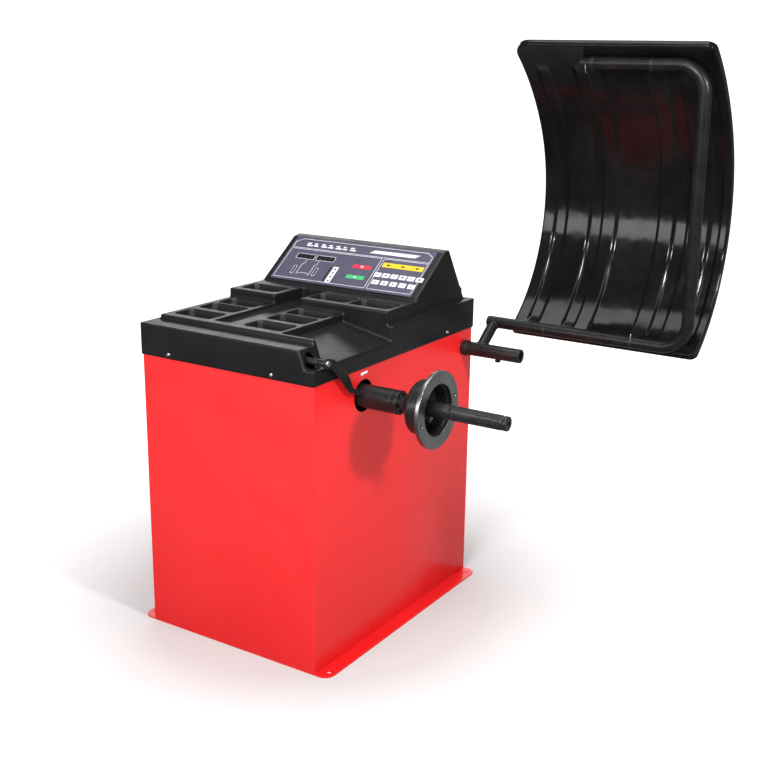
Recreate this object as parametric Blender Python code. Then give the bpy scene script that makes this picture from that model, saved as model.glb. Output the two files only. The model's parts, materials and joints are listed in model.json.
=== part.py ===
"""Wheel balancer machine: sheet-steel cabinet, moulded weight tray and console, spindle with
flange and threaded shaft, sliding distance gauge, belt drive, and a hinged wheel guard.

Metres, +Z up. The origin is on the floor under the middle of the cabinet, +X is the side that
the spindle leaves, and -Y is the operator's side. The guard is modelled open.
"""

import math

import bmesh
import bpy
from mathutils import Matrix, Vector

GAP = 0.0003                    # between pieces that touch on the real machine

# Cabinet
CABINET_HALF_X = 0.265
CABINET_HALF_Y = 0.375
SHEET = 0.002
PLATE_THICK = 0.004
PLATE_EAR = 0.041
SEAM_Y = -0.031                 # where the front wrap meets the rear wrap
WALL_TOP = 0.756

# Moulded cover: tray levels, from the skirt's lower edge up
COVER_OVERHANG = 0.004
SKIRT_Z = 0.735
WALL = 0.003
SHELF_Z = 0.773                 # low shelf in front of the gauge
RAMP_LOW_Z = 0.778
RAMP_HIGH_Z = 0.808
LEDGE_Z = 0.817
PLATFORM_Z = 0.829
BLOCK_Z = 0.853
STEP_X = 0.254                  # half width of everything above the ledge
PLATFORM_FRONT_Y = -0.318
RAMP_FRONT_Y = -0.305
BLOCK_FRONT_Y = -0.048
BLOCK_BACK_Y = 0.331            # where the console's rear slope meets the block's top
RAMP_X = 0.120
NOTCH_TOP_X = 0.225
NOTCH_LOW_X = 0.241
CHANNEL_X = (-0.100, -0.018)
CHANNEL_Y = (-0.290, 0.078)
POCKET_SIZE = (0.120, 0.068)
POCKET_ROWS_Y = (-0.256, -0.166, -0.088)
POCKET_COLUMNS_X = (-0.176, 0.048)
UPPER_POCKETS_X = (-0.176, 0.048, 0.178)
UPPER_POCKET_Y = 0.010
POCKET_DEPTH = 0.040
POCKET_DRAFT = 0.006

# Console
CONSOLE_HALF_X = 0.250
CONSOLE_PROFILE = ((0.088, 0.852), (0.096, 0.858), (0.236, 0.960), (0.262, 0.965), (0.354, 0.820))
PANEL_FOOT = Vector((0.0, 0.096, 0.858))
PANEL_UP = Vector((0.0, 0.140, 0.102)).normalized()
PANEL_OUT = Vector((0.0, -PANEL_UP.z, PANEL_UP.y))
OVERLAY_HALF_X = 0.231
OVERLAY_SPAN = (0.004, 0.171)   # along the slope
OVERLAY_THICK = 0.0025
KEY_TRAVEL = 0.0006
WHITE_KEY = (0.021, 0.015)
WIDE_KEY = (0.058, 0.013)

# Spindle, on an axis along X
SPINDLE_Y = -0.168
SPINDLE_Z = 0.667
WALL_HOLE_R = 0.041
HOUSING_R = 0.0295
HOUSING_X = (0.118, 0.375)
BEARING_R = 0.026
SHAFT_R = 0.015
BELL_R = 0.066
RING_R = (0.063, 0.0944)
RING_X = (0.466, 0.476)
HUB_R = 0.020
THREAD_R = 0.018
THREAD_X = (0.505, 0.6595)
RING_HOLE_R = 0.004
RING_HOLE_RADIUS = 0.079
RING_HOLE_DEGREES = (15, 195)

# Belt drive
MOTOR_Y = -0.168
MOTOR_Z = 0.420
BELT_X = (0.032, 0.054)
BIG_PULLEY_R = 0.060
SMALL_PULLEY_R = 0.020
BELT_THICK = 0.003

# Distance gauge, on an axis along X
GAUGE_Y = -0.347
GAUGE_Z = 0.788
ROD_R = 0.0085
ROD_X = (0.040, 0.2795)
ARM_X = (0.280, 0.284)

# Guard, on an axis along X
PIVOT_Y = 0.329
PIVOT_Z = 0.686
PIVOT_TUBE_R = (0.0125, 0.019)
PIVOT_TUBE_X = (0.2840, 0.442)
ARM_CENTRE_X = 0.316
ARM_R = 0.015
FRAME_R = 0.016
FRAME_WALL = 0.002
GUARD_X = (0.357, 0.887)
GUARD_CENTRE = Vector((0.200, 1.081))
GUARD_RADIUS = 0.411
GUARD_LOW_ANGLE = -57.4
GUARD_TURN_ANGLE = 30.0
GUARD_UPPER_RADIUS = 0.626
GUARD_UPPER_SWEEP = 26.2
GUARD_RIM = 0.016
GUARD_SKIN = 0.003
GUARD_RIB = 0.005


# ---------------------------------------------------------------- scene helpers

def clear_scene():
    for obj in list(bpy.data.objects):
        bpy.data.objects.remove(obj)


def material(name, colour, roughness, metallic=0.0):
    made = bpy.data.materials.get(name)
    if made is None:
        made = bpy.data.materials.new(name)
        made.use_nodes = True
        shader = made.node_tree.nodes["Principled BSDF"]
        shader.inputs["Base Color"].default_value = (*colour, 1.0)
        shader.inputs["Roughness"].default_value = roughness
        shader.inputs["Metallic"].default_value = metallic
        made.diffuse_color = (*colour, 1.0)
    return made


def red_paint():
    return material("red_paint", (0.72, 0.02, 0.02), 0.35)


def black_plastic():
    return material("black_plastic", (0.02, 0.02, 0.02), 0.5)


def black_steel():
    return material("black_steel", (0.015, 0.015, 0.015), 0.4, 0.3)


def bright_steel():
    return material("bright_steel", (0.6, 0.6, 0.62), 0.25, 1.0)


def gloss_black():
    return material("gloss_black", (0.012, 0.012, 0.012), 0.12)


def white_plastic():
    return material("white_plastic", (0.85, 0.85, 0.85), 0.4)


def put(name, mesh_data, look, origin=(0.0, 0.0, 0.0)):
    """A named object from a bmesh built in world space, its own origin at `origin`."""
    bmesh.ops.recalc_face_normals(mesh_data, faces=mesh_data.faces)
    bmesh.ops.translate(mesh_data, vec=-Vector(origin), verts=mesh_data.verts)
    mesh = bpy.data.meshes.new(name)
    mesh_data.to_mesh(mesh)
    mesh_data.free()
    mesh.materials.append(look)
    mesh.shade_smooth()
    mesh.set_sharp_from_angle(angle=math.radians(35))
    obj = bpy.data.objects.new(name, mesh)
    obj.location = origin
    bpy.context.scene.collection.objects.link(obj)
    return obj


def combine(obj, tool_mesh, operation="DIFFERENCE"):
    """Cuts or joins a bmesh built in world space into obj, and applies it."""
    tool = put("tool", tool_mesh, black_plastic())
    tool.hide_render = True
    tool.display_type = "WIRE"
    step = obj.modifiers.new(operation.lower(), "BOOLEAN")
    step.operation = operation
    step.solver = "EXACT"
    step.object = tool
    bpy.context.view_layer.update()
    graph = bpy.context.evaluated_depsgraph_get()
    result = bpy.data.meshes.new_from_object(obj.evaluated_get(graph))
    obj.modifiers.clear()
    old = obj.data
    obj.data = result
    bpy.data.meshes.remove(old)
    bpy.data.objects.remove(tool)
    return obj


def cut(obj, *tool_meshes):
    for tool_mesh in tool_meshes:
        combine(obj, tool_mesh)
    return obj


def unite(obj, *tool_meshes):
    for tool_mesh in tool_meshes:
        combine(obj, tool_mesh, "UNION")
    return obj


# ---------------------------------------------------------------- shape helpers

def box(low, high):
    shape = bmesh.new()
    bmesh.ops.create_cube(shape, size=1.0)
    low, high = Vector(low), Vector(high)
    size, middle = high - low, (high + low) / 2
    bmesh.ops.scale(shape, vec=size, verts=shape.verts)
    bmesh.ops.translate(shape, vec=middle, verts=shape.verts)
    return shape


def prism(outline, axis, start, end):
    """A closed outline of two coordinates, extruded along the third axis, 'X', 'Y' or 'Z'."""
    place = {
        "X": lambda a, b, depth: (depth, a, b),
        "Y": lambda a, b, depth: (a, depth, b),
        "Z": lambda a, b, depth: (a, b, depth),
    }[axis]
    shape = bmesh.new()
    lower = [shape.verts.new(place(a, b, start)) for a, b in outline]
    upper = [shape.verts.new(place(a, b, end)) for a, b in outline]
    shape.faces.new(lower[::-1])
    shape.faces.new(upper)
    count = len(outline)
    for i in range(count):
        j = (i + 1) % count
        shape.faces.new((lower[i], lower[j], upper[j], upper[i]))
    return shape


def arc(centre, radius, start_degrees, end_degrees, steps):
    """Points on a circle arc, both ends included."""
    points = []
    for i in range(steps + 1):
        angle = math.radians(start_degrees + (end_degrees - start_degrees) * i / steps)
        points.append((centre[0] + radius * math.cos(angle), centre[1] + radius * math.sin(angle)))
    return points


def rounded_rectangle(half_a, half_b, radius, steps=4):
    points = []
    corners = ((1, 1, 0), (-1, 1, 90), (-1, -1, 180), (1, -1, 270))
    for sign_a, sign_b, start in corners:
        centre = (sign_a * (half_a - radius), sign_b * (half_b - radius))
        points += arc(centre, radius, start, start + 90, steps)
    return points


def turned(profile, centre, sides=28):
    """A solid turned about a line along X through centre (y, z). The profile is (x, radius)
    pairs; a radius of 0 closes on the axis, and a profile that never does makes a ring."""
    shape = bmesh.new()
    rings = []
    for x, radius in profile:
        if radius == 0:
            rings.append([shape.verts.new((x, centre[0], centre[1]))])
            continue
        ring = arc(centre, radius, 0, 360, sides)[:-1]
        rings.append([shape.verts.new((x, y, z)) for y, z in ring])
    closed_ring = profile[0][1] > 0 and profile[-1][1] > 0
    pairs = list(zip(rings, rings[1:]))
    if closed_ring:
        pairs.append((rings[-1], rings[0]))
    for first, second in pairs:
        for i in range(sides):
            j = (i + 1) % sides
            if len(first) == 1:
                shape.faces.new((first[0], second[i], second[j]))
            elif len(second) == 1:
                shape.faces.new((first[i], first[j], second[0]))
            else:
                shape.faces.new((first[i], first[j], second[j], second[i]))
    return shape


def rod(start, end, radius, sides=20):
    """A plain round bar between two points."""
    start, end = Vector(start), Vector(end)
    shape = bmesh.new()
    bmesh.ops.create_cone(
        shape, cap_ends=True, segments=sides, radius1=radius, radius2=radius,
        depth=(end - start).length,
    )
    turn = (end - start).to_track_quat("Z", "Y").to_matrix().to_4x4()
    bmesh.ops.transform(
        shape, matrix=Matrix.Translation((start + end) / 2) @ turn, verts=shape.verts
    )
    return shape


def pipe(path, outer, inner, sides=14):
    """A hollow tube along a path of points, open at both ends."""
    path = [Vector(point) for point in path]
    shape = bmesh.new()
    rings = {outer: [], inner: []}
    side = None
    for i, point in enumerate(path):
        before = path[max(i - 1, 0)]
        after = path[min(i + 1, len(path) - 1)]
        along = (after - before).normalized()
        if side is None:
            side = along.orthogonal().normalized()
        side = (side - along * side.dot(along)).normalized()
        other = along.cross(side)
        for radius, loops in rings.items():
            loop = []
            for k in range(sides):
                angle = 2 * math.pi * k / sides
                offset = side * math.cos(angle) + other * math.sin(angle)
                loop.append(shape.verts.new(point + offset * radius))
            loops.append(loop)

    def skin(first, second):
        for k in range(sides):
            m = (k + 1) % sides
            shape.faces.new((first[k], first[m], second[m], second[k]))

    for loops in rings.values():
        for first, second in zip(loops, loops[1:]):
            skin(first, second)
    skin(rings[outer][0], rings[inner][0])
    skin(rings[outer][-1], rings[inner][-1])
    return shape


def on_panel(x, along, out):
    """World point for a place on the console's sloping face."""
    return PANEL_FOOT + Vector((x, 0, 0)) + PANEL_UP * along + PANEL_OUT * out


def panel_block(x_range, along_range, out_range, radius=0.0):
    """A slab lying on the console's sloping face."""
    half_x = (x_range[1] - x_range[0]) / 2
    half_s = (along_range[1] - along_range[0]) / 2
    middle_x = (x_range[1] + x_range[0]) / 2
    middle_s = (along_range[1] + along_range[0]) / 2
    if radius:
        outline = rounded_rectangle(half_x, half_s, radius, 3)
    else:
        outline = ((-half_x, -half_s), (half_x, -half_s), (half_x, half_s), (-half_x, half_s))
    shape = prism(outline, "Z", out_range[0], out_range[1])
    frame = Matrix((
        (1, 0, 0, 0),
        (0, PANEL_UP.y, PANEL_OUT.y, 0),
        (0, PANEL_UP.z, PANEL_OUT.z, 0),
        (0, 0, 0, 1),
    ))
    place = Matrix.Translation(on_panel(middle_x, middle_s, 0.0)) @ frame
    bmesh.ops.transform(shape, matrix=place, verts=shape.verts)
    return shape


# ---------------------------------------------------------------- cabinet

def build_base_plate():
    ear_x = CABINET_HALF_X + PLATE_EAR
    plate = put(
        "base_plate",
        prism(rounded_rectangle(ear_x, CABINET_HALF_Y, 0.028), "Z", 0.0, PLATE_THICK),
        red_paint(),
    )
    for x in (-1, 1):
        for y in (-1, 1):
            centre = (x * (ear_x - 0.018), y * (CABINET_HALF_Y - 0.030))
            cut(plate, prism(arc(centre, 0.006, 0, 360, 12)[:-1], "Z", -0.01, 0.01))


def wrap_outline(wall_y, seam_y):
    """A U of sheet seen from above, from the seam round the far wall and back to the seam,
    with its edges returned inwards at the seam."""
    inward = 1 if seam_y > wall_y else -1
    half, inner = CABINET_HALF_X, CABINET_HALF_X - SHEET
    lip = 0.018
    return [
        (half - lip, seam_y), (half, seam_y), (half, wall_y), (-half, wall_y), (-half, seam_y),
        (-half + lip, seam_y), (-half + lip, seam_y - inward * SHEET),
        (-inner, seam_y - inward * SHEET), (-inner, wall_y + inward * SHEET),
        (inner, wall_y + inward * SHEET), (inner, seam_y - inward * SHEET),
        (half - lip, seam_y - inward * SHEET),
    ]


def build_cabinet():
    low, high = PLATE_THICK + GAP, WALL_TOP
    front = put(
        "cabinet_front", prism(wrap_outline(-CABINET_HALF_Y, SEAM_Y), "Z", low, high), red_paint()
    )
    hole = arc((SPINDLE_Y, SPINDLE_Z), WALL_HOLE_R, 0, 360, 28)[:-1]
    cut(front, prism(hole, "X", CABINET_HALF_X - 0.01, CABINET_HALF_X + 0.01))
    rear_seam = SEAM_Y + GAP
    rear = put(
        "cabinet_rear", prism(wrap_outline(CABINET_HALF_Y, rear_seam), "Z", low, high), red_paint()
    )
    pivot_hole = arc((PIVOT_Y, PIVOT_Z), 0.016, 0, 360, 20)[:-1]
    cut(rear, prism(pivot_hole, "X", CABINET_HALF_X - 0.01, CABINET_HALF_X + 0.01))
    back = CABINET_HALF_Y
    for row in range(6):
        z = 0.24 + 0.022 * row
        cut(rear, box((-0.06, back - 0.01, z), (0.06, back + 0.01, z + 0.006)))
    cut(rear, box((-0.181, back - 0.01, 0.585), (-0.149, back + 0.01, 0.615)))
    cut(rear, rod((-0.165, back - 0.01, 0.530), (-0.165, back + 0.01, 0.530), 0.010, 16))


# ---------------------------------------------------------------- moulded cover

def cover_body(inset):
    """The cover's outer form, or with an inset the form of its inside."""
    half_x = CABINET_HALF_X + COVER_OVERHANG - inset
    half_y = CABINET_HALF_Y + COVER_OVERHANG - inset
    foot = SKIRT_Z if inset == 0 else SKIRT_Z - 0.02
    step_x = STEP_X - inset
    body = put(
        "cover_form" if inset else "top_cover",
        prism(rounded_rectangle(half_x, half_y, 0.006 - inset * 1.4, 2), "Z", foot, LEDGE_Z - inset),
        black_plastic(),
    )
    low = LEDGE_Z - inset - 0.003
    platform = box(
        (-step_x, PLATFORM_FRONT_Y + inset, low),
        (NOTCH_TOP_X + 0.003 - inset, BLOCK_FRONT_Y + 0.01, PLATFORM_Z - inset),
    )
    block = box(
        (-step_x, BLOCK_FRONT_Y + inset, low), (step_x, BLOCK_BACK_Y - inset, BLOCK_Z - inset)
    )
    slope_inset = inset * 1.25
    profile = [
        (CONSOLE_PROFILE[0][0] + slope_inset, low),
        (CONSOLE_PROFILE[1][0] + slope_inset, CONSOLE_PROFILE[1][1]),
        (CONSOLE_PROFILE[2][0] + slope_inset / 2, CONSOLE_PROFILE[2][1] - slope_inset),
        (CONSOLE_PROFILE[3][0] - slope_inset / 2, CONSOLE_PROFILE[3][1] - slope_inset),
        (CONSOLE_PROFILE[4][0] - slope_inset, low),
    ]
    console_x = CONSOLE_HALF_X - inset
    console = prism(profile, "X", -console_x, console_x)
    return unite(body, platform, block, console)


def ramp_cut(grow):
    """The air over the sloping tray floor beside the spindle."""
    far = CABINET_HALF_X + COVER_OVERHANG + 0.02
    drop = (RAMP_HIGH_Z - RAMP_LOW_Z) / (CABINET_HALF_X - RAMP_X)
    left = RAMP_X - grow
    outline = [
        (left, RAMP_HIGH_Z - grow), (far, RAMP_HIGH_Z - grow - drop * (far - left)),
        (far, 0.9), (left, 0.9),
    ]
    return prism(outline, "Y", RAMP_FRONT_Y - grow, BLOCK_FRONT_Y + grow)


def notch_cut(grow):
    """The air in front of the ramp, beside the slanted wall that the gauge rod leaves."""
    far = CABINET_HALF_X + COVER_OVERHANG + 0.02
    slope = (NOTCH_LOW_X - NOTCH_TOP_X) / (LEDGE_Z - SHELF_Z)
    top_x = NOTCH_TOP_X - slope * (0.9 - LEDGE_Z)
    outline = [
        (NOTCH_LOW_X - grow, SHELF_Z - grow), (far, SHELF_Z - grow), (far, 0.9),
        (top_x - grow, 0.9),
    ]
    return prism(outline, "Y", -CABINET_HALF_Y - 0.02, RAMP_FRONT_Y + 0.001)


def channel_cut(grow):
    return box(
        (CHANNEL_X[0] - grow, CHANNEL_Y[0] - grow, LEDGE_Z - grow),
        (CHANNEL_X[1] + grow, CHANNEL_Y[1] + grow, 0.9),
    )


def pocket_cut(x, y, top, grow):
    """A pocket with drafted walls, wider at its mouth."""
    depth = POCKET_DEPTH + grow
    half_x, half_y = POCKET_SIZE[0] / 2 + grow, POCKET_SIZE[1] / 2 + grow
    shape = bmesh.new()
    loops = []
    for z, draft in ((top - depth, POCKET_DRAFT), (top, 0.0), (top + 0.02, 0.0)):
        outline = rounded_rectangle(half_x - draft, half_y - draft, 0.012, 3)
        loops.append([shape.verts.new((x + a, y + b, z)) for a, b in outline])
    shape.faces.new(loops[0][::-1])
    shape.faces.new(loops[-1])
    for lower, upper in zip(loops, loops[1:]):
        count = len(lower)
        for i in range(count):
            j = (i + 1) % count
            shape.faces.new((lower[i], lower[j], upper[j], upper[i]))
    return shape


def tray_cuts(grow):
    cuts = [ramp_cut(grow), notch_cut(grow), channel_cut(grow)]
    for x in POCKET_COLUMNS_X:
        cuts += [pocket_cut(x, y, PLATFORM_Z, grow) for y in POCKET_ROWS_Y]
    cuts += [pocket_cut(x, UPPER_POCKET_Y, BLOCK_Z, grow) for x in UPPER_POCKETS_X]
    return cuts


def build_top_cover():
    cover = cut(cover_body(0.0), *tray_cuts(0.0))
    inside = cut(cover_body(WALL), *tray_cuts(WALL))
    hollow = bmesh.new()
    hollow.from_mesh(inside.data)
    bpy.data.objects.remove(inside)
    cut(cover, hollow)
    cut(cover, rod((0.20, GAUGE_Y, GAUGE_Z), (0.26, GAUGE_Y, GAUGE_Z), 0.0178, 24))
    for x, z in ((-0.1746, 0.747), (0.1461, 0.747)):
        face = -CABINET_HALF_Y - COVER_OVERHANG
        cut(cover, rod((x, face - 0.01, z), (x, face + 0.02, z), 0.0028, 12))
    side = CABINET_HALF_X + COVER_OVERHANG
    cut(cover, rod((side - 0.02, 0.229, 0.749), (side + 0.01, 0.229, 0.749), 0.0028, 12))


def build_cover_screws():
    """Round-headed screws with their shanks through the skirt."""
    def screw(name, seat, direction):
        seat, direction = Vector(seat), Vector(direction)
        head = rod(seat + direction * GAP, seat + direction * 0.0028, 0.0052, 16)
        made = put(name, head, bright_steel())
        unite(made, rod(seat - direction * 0.0034, seat + direction * 0.001, 0.0022, 12))

    front = -CABINET_HALF_Y - COVER_OVERHANG
    side = CABINET_HALF_X + COVER_OVERHANG
    screw("cover_screw_front_left", (-0.1746, front, 0.747), (0, -1, 0))
    screw("cover_screw_front_right", (0.1461, front, 0.747), (0, -1, 0))
    screw("cover_screw_side", (side, 0.229, 0.749), (1, 0, 0))


# ---------------------------------------------------------------- display panel

def key_places():
    """Name, middle (x, along the slope), size, and look of each key."""
    places = []
    for i in range(6):
        places.append((f"key_upper_{i + 1}", (0.0965 + 0.0262 * i, 0.065), WHITE_KEY))
    for i in range(5):
        places.append((f"key_lower_{i + 1}", (0.1030 + 0.0282 * i, 0.038), WHITE_KEY))
    places.append(("key_stop", (0.036, 0.084), WIDE_KEY))
    places.append(("key_start", (0.034, 0.045), WIDE_KEY))
    return places


WINDOWS = {
    "display_window_left": ((-0.189, -0.132), (0.090, 0.105)),
    "display_window_right": ((-0.121, -0.064), (0.090, 0.105)),
}


def build_display_panel():
    grey = material("panel_grey", (0.15, 0.145, 0.21), 0.45)
    overlay = put(
        "display_overlay",
        panel_block(
            (-OVERLAY_HALF_X, OVERLAY_HALF_X), OVERLAY_SPAN, (GAP, GAP + OVERLAY_THICK), 0.006
        ),
        grey,
    )
    for x_range, along_range in WINDOWS.values():
        cut(overlay, panel_block(x_range, along_range, (-0.001, 0.006)))
    for name, (x, along), (width, height) in key_places():
        hole_x = (x - width / 2 - GAP, x + width / 2 + GAP)
        hole_s = (along - height / 2 - GAP, along + height / 2 + GAP)
        cut(overlay, panel_block(hole_x, hole_s, (-0.001, 0.006)))
    smoked = material("smoked_window", (0.05, 0.002, 0.002), 0.1)
    for name, (x_range, along_range) in WINDOWS.items():
        inner_x = (x_range[0] + GAP, x_range[1] - GAP)
        inner_s = (along_range[0] + GAP, along_range[1] - GAP)
        put(name, panel_block(inner_x, inner_s, (GAP, OVERLAY_THICK)), smoked)
    looks = {
        "key_stop": material("key_red", (0.62, 0.03, 0.07), 0.4),
        "key_start": material("key_green", (0.04, 0.38, 0.14), 0.4),
    }
    for name, (x, along), (width, height) in key_places():
        middle = on_panel(x, along, OVERLAY_THICK)
        slab = panel_block(
            (x - width / 2, x + width / 2), (along - height / 2, along + height / 2),
            (GAP + KEY_TRAVEL + 0.0002, GAP + OVERLAY_THICK + 0.0008),
        )
        put(name, slab, looks.get(name, white_plastic()), middle)
    board = material("board_green", (0.02, 0.16, 0.06), 0.5)
    put("display_board", panel_block((-0.205, 0.225), (0.040, 0.140), (-0.010, -0.0084)), board)


# ---------------------------------------------------------------- spindle

def spindle_turned(name, profile, look, sides=28):
    return put(
        name, turned(profile, (SPINDLE_Y, SPINDLE_Z), sides), look, (0.0, SPINDLE_Y, SPINDLE_Z)
    )


def build_spindle():
    bore = BEARING_R + GAP
    x0, x1 = HOUSING_X
    spindle_turned(
        "shaft_housing",
        [(x0, HOUSING_R), (x1 - 0.002, HOUSING_R), (x1, HOUSING_R - 0.002), (x1, 0.021),
         (x1 - 0.006, 0.021), (x1 - 0.006, bore), (x0, bore)],
        black_steel(),
    )
    for name, x in (("bearing_inner", x0 + 0.003), ("bearing_outer", x1 - 0.022)):
        spindle_turned(
            name,
            [(x, BEARING_R), (x + 0.015, BEARING_R), (x + 0.015, SHAFT_R + GAP),
             (x, SHAFT_R + GAP)],
            bright_steel(),
        )
    spindle_turned(
        "main_shaft",
        [(-0.030, 0), (-0.030, 0.013), (-0.028, SHAFT_R), (0.4310, SHAFT_R), (0.4310, 0)],
        bright_steel(),
    )
    spindle_turned(
        "flange_bell",
        [(0.378, 0.0190), (0.390, 0.0190), (0.394, 0.026), (0.420, 0.062), (0.4245, BELL_R),
         (RING_X[0] - GAP, BELL_R), (RING_X[0] - GAP, 0.059), (0.434, 0.059),
         (0.4315, 0.056), (0.4315, SHAFT_R + GAP), (0.378, SHAFT_R + GAP)],
        black_steel(), 32,
    )
    ring = spindle_turned(
        "flange_ring",
        [(RING_X[0], RING_R[1]), (RING_X[1] - 0.002, RING_R[1]),
         (RING_X[1], RING_R[1] - 0.002), (RING_X[1], RING_R[0] + 0.001),
         (RING_X[1] - 0.001, RING_R[0]), (RING_X[0], RING_R[0])],
        bright_steel(), 40,
    )
    ring.location = (0, 0, 0)
    ring.data.transform(Matrix.Translation((0.0, SPINDLE_Y, SPINDLE_Z)))
    for degrees in RING_HOLE_DEGREES:
        y = SPINDLE_Y + RING_HOLE_RADIUS * math.cos(math.radians(degrees))
        z = SPINDLE_Z + RING_HOLE_RADIUS * math.sin(math.radians(degrees))
        cut(ring, rod((RING_X[0] - 0.01, y, z), (RING_X[1] + 0.01, y, z), RING_HOLE_R, 12))
    root_r = THREAD_R - 0.0015
    spindle_turned(
        "threaded_shaft",
        [(0.4318, 0), (0.4318, HUB_R), (THREAD_X[0] - 0.002, HUB_R), (THREAD_X[0], HUB_R - 0.002),
         (THREAD_X[0], root_r), (THREAD_X[0] + 0.008, root_r), (THREAD_X[0] + 0.010, THREAD_R),
         (0.6450, THREAD_R), (0.6455, root_r), (0.6495, root_r), (0.6500, THREAD_R - 0.0005),
         (0.6570, THREAD_R - 0.0005), (THREAD_X[1], THREAD_R - 0.004), (THREAD_X[1], 0.0055),
         (THREAD_X[1] - 0.012, 0.0055), (THREAD_X[1] - 0.015, 0)],
        black_steel(),
    )
    spindle_turned(
        "spindle_pulley", pulley_profile(BELT_X, BIG_PULLEY_R, SHAFT_R + GAP), black_steel(), 30
    )
    spindle_turned(
        "encoder_disc",
        [(-0.0100, 0.042), (-0.0080, 0.042), (-0.0080, SHAFT_R + GAP), (-0.0100, SHAFT_R + GAP)],
        bright_steel(),
    )
    sensor = put(
        "encoder_sensor",
        box((-0.020, SPINDLE_Y - 0.012, SPINDLE_Z + 0.030), (0.002, SPINDLE_Y + 0.012, 0.724)),
        black_plastic(),
    )
    cut(sensor, box((-0.0115, SPINDLE_Y - 0.02, 0.66), (-0.0065, SPINDLE_Y + 0.02, 0.7115)))


def pulley_profile(x_range, radius, bore):
    """A pulley with a flange each side of the belt."""
    x0, x1 = x_range
    rim = radius + 0.005
    return [
        (x0 - 0.003, rim), (x0 - 0.0008, rim), (x0 - 0.0008, radius), (x1 + 0.0008, radius),
        (x1 + 0.0008, rim), (x1 + 0.003, rim), (x1 + 0.003, bore), (x0 - 0.003, bore),
    ]


def build_spindle_support():
    """A welded saddle that carries the housing on two force sensors."""
    saddle = put(
        "spindle_bracket",
        box((0.130, SPINDLE_Y - 0.045, 0.575), (0.232, SPINDLE_Y + 0.045, 0.583)),
        black_steel(),
    )
    for x in (0.130, 0.222):
        plate = box((x, SPINDLE_Y - 0.045, 0.577), (x + 0.010, SPINDLE_Y + 0.045, 0.712))
        unite(saddle, plate)
    cut(saddle, rod(
        (0.12, SPINDLE_Y, SPINDLE_Z), (0.25, SPINDLE_Y, SPINDLE_Z), HOUSING_R + GAP, 28
    ))
    steel = bright_steel()
    for name, x in (("force_sensor_inner", 0.145), ("force_sensor_outer", 0.213)):
        sensor = turned_z((x, SPINDLE_Y), 0.0145, 0.5570, 0.5747)
        put(name, sensor, steel)
    beam = box((0.085, SPINDLE_Y - 0.040, 0.5467), (0.2620, SPINDLE_Y + 0.040, 0.5567))
    support = put("support_beam", beam, black_steel())
    unite(support, box(
        (0.2560, SPINDLE_Y - 0.060, 0.500), (CABINET_HALF_X - SHEET - GAP, SPINDLE_Y + 0.060, 0.600)
    ))


def turned_z(centre, radius, low, high, sides=20):
    return prism(arc(centre, radius, 0, 360, sides)[:-1], "Z", low, high)


def build_drive():
    axis = (MOTOR_Y, MOTOR_Z)
    body = put(
        "motor_body",
        turned([(-0.150, 0), (-0.150, 0.048), (-0.143, 0.055), (-0.020, 0.055), (-0.012, 0.045),
                (-0.012, 0)], axis, 28),
        black_steel(),
    )
    unite(body, box((-0.130, MOTOR_Y - 0.050, MOTOR_Z - 0.066), (-0.030, MOTOR_Y + 0.050, 0.375)))
    put(
        "motor_pulley",
        turned([(-0.0115, 0), (-0.0115, 0.007), (BELT_X[0] - 0.003, 0.007)]
               + pulley_profile(BELT_X, SMALL_PULLEY_R, 0.0)[:6]
               + [(BELT_X[1] + 0.003, 0)], axis, 24),
        bright_steel(),
        (0.0, MOTOR_Y, MOTOR_Z),
    )
    bracket = put(
        "motor_bracket",
        box((-0.160, MOTOR_Y - 0.080, 0.3417), (-0.010, MOTOR_Y + 0.080, MOTOR_Z - 0.0663)),
        black_steel(),
    )
    unite(bracket, box(
        (-0.160, -CABINET_HALF_Y + SHEET + GAP, 0.3417), (-0.010, MOTOR_Y - 0.070, 0.3457)
    ))
    unite(bracket, box(
        (-0.160, -CABINET_HALF_Y + SHEET + GAP, 0.300),
        (-0.010, -CABINET_HALF_Y + SHEET + GAP + 0.004, 0.390),
    ))
    put("drive_belt", belt_loop(), material("belt_rubber", (0.02, 0.02, 0.02), 0.8))


def belt_loop():
    """A flat belt round both pulleys: the hull of two circles, less the same hull inside."""
    rise = SPINDLE_Z - MOTOR_Z
    lean = math.degrees(math.asin((BIG_PULLEY_R - SMALL_PULLEY_R) / rise))

    def loop(offset):
        over = arc((SPINDLE_Y, SPINDLE_Z), BIG_PULLEY_R + offset, -lean, 180 + lean, 22)
        under = arc((MOTOR_Y, MOTOR_Z), SMALL_PULLEY_R + offset, 180 + lean, 360 - lean, 14)
        return over + under

    outer, inner = loop(0.0005 + BELT_THICK), loop(0.0005)
    shape = bmesh.new()
    rings = []
    for outline, x in ((outer, BELT_X[0]), (outer, BELT_X[1]), (inner, BELT_X[1]),
                       (inner, BELT_X[0])):
        rings.append([shape.verts.new((x, y, z)) for y, z in outline])
    count = len(outer)
    for first, second in zip(rings, rings[1:] + rings[:1]):
        for i in range(count):
            j = (i + 1) % count
            shape.faces.new((first[i], first[j], second[j], second[i]))
    return shape


# ---------------------------------------------------------------- electrics

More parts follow.
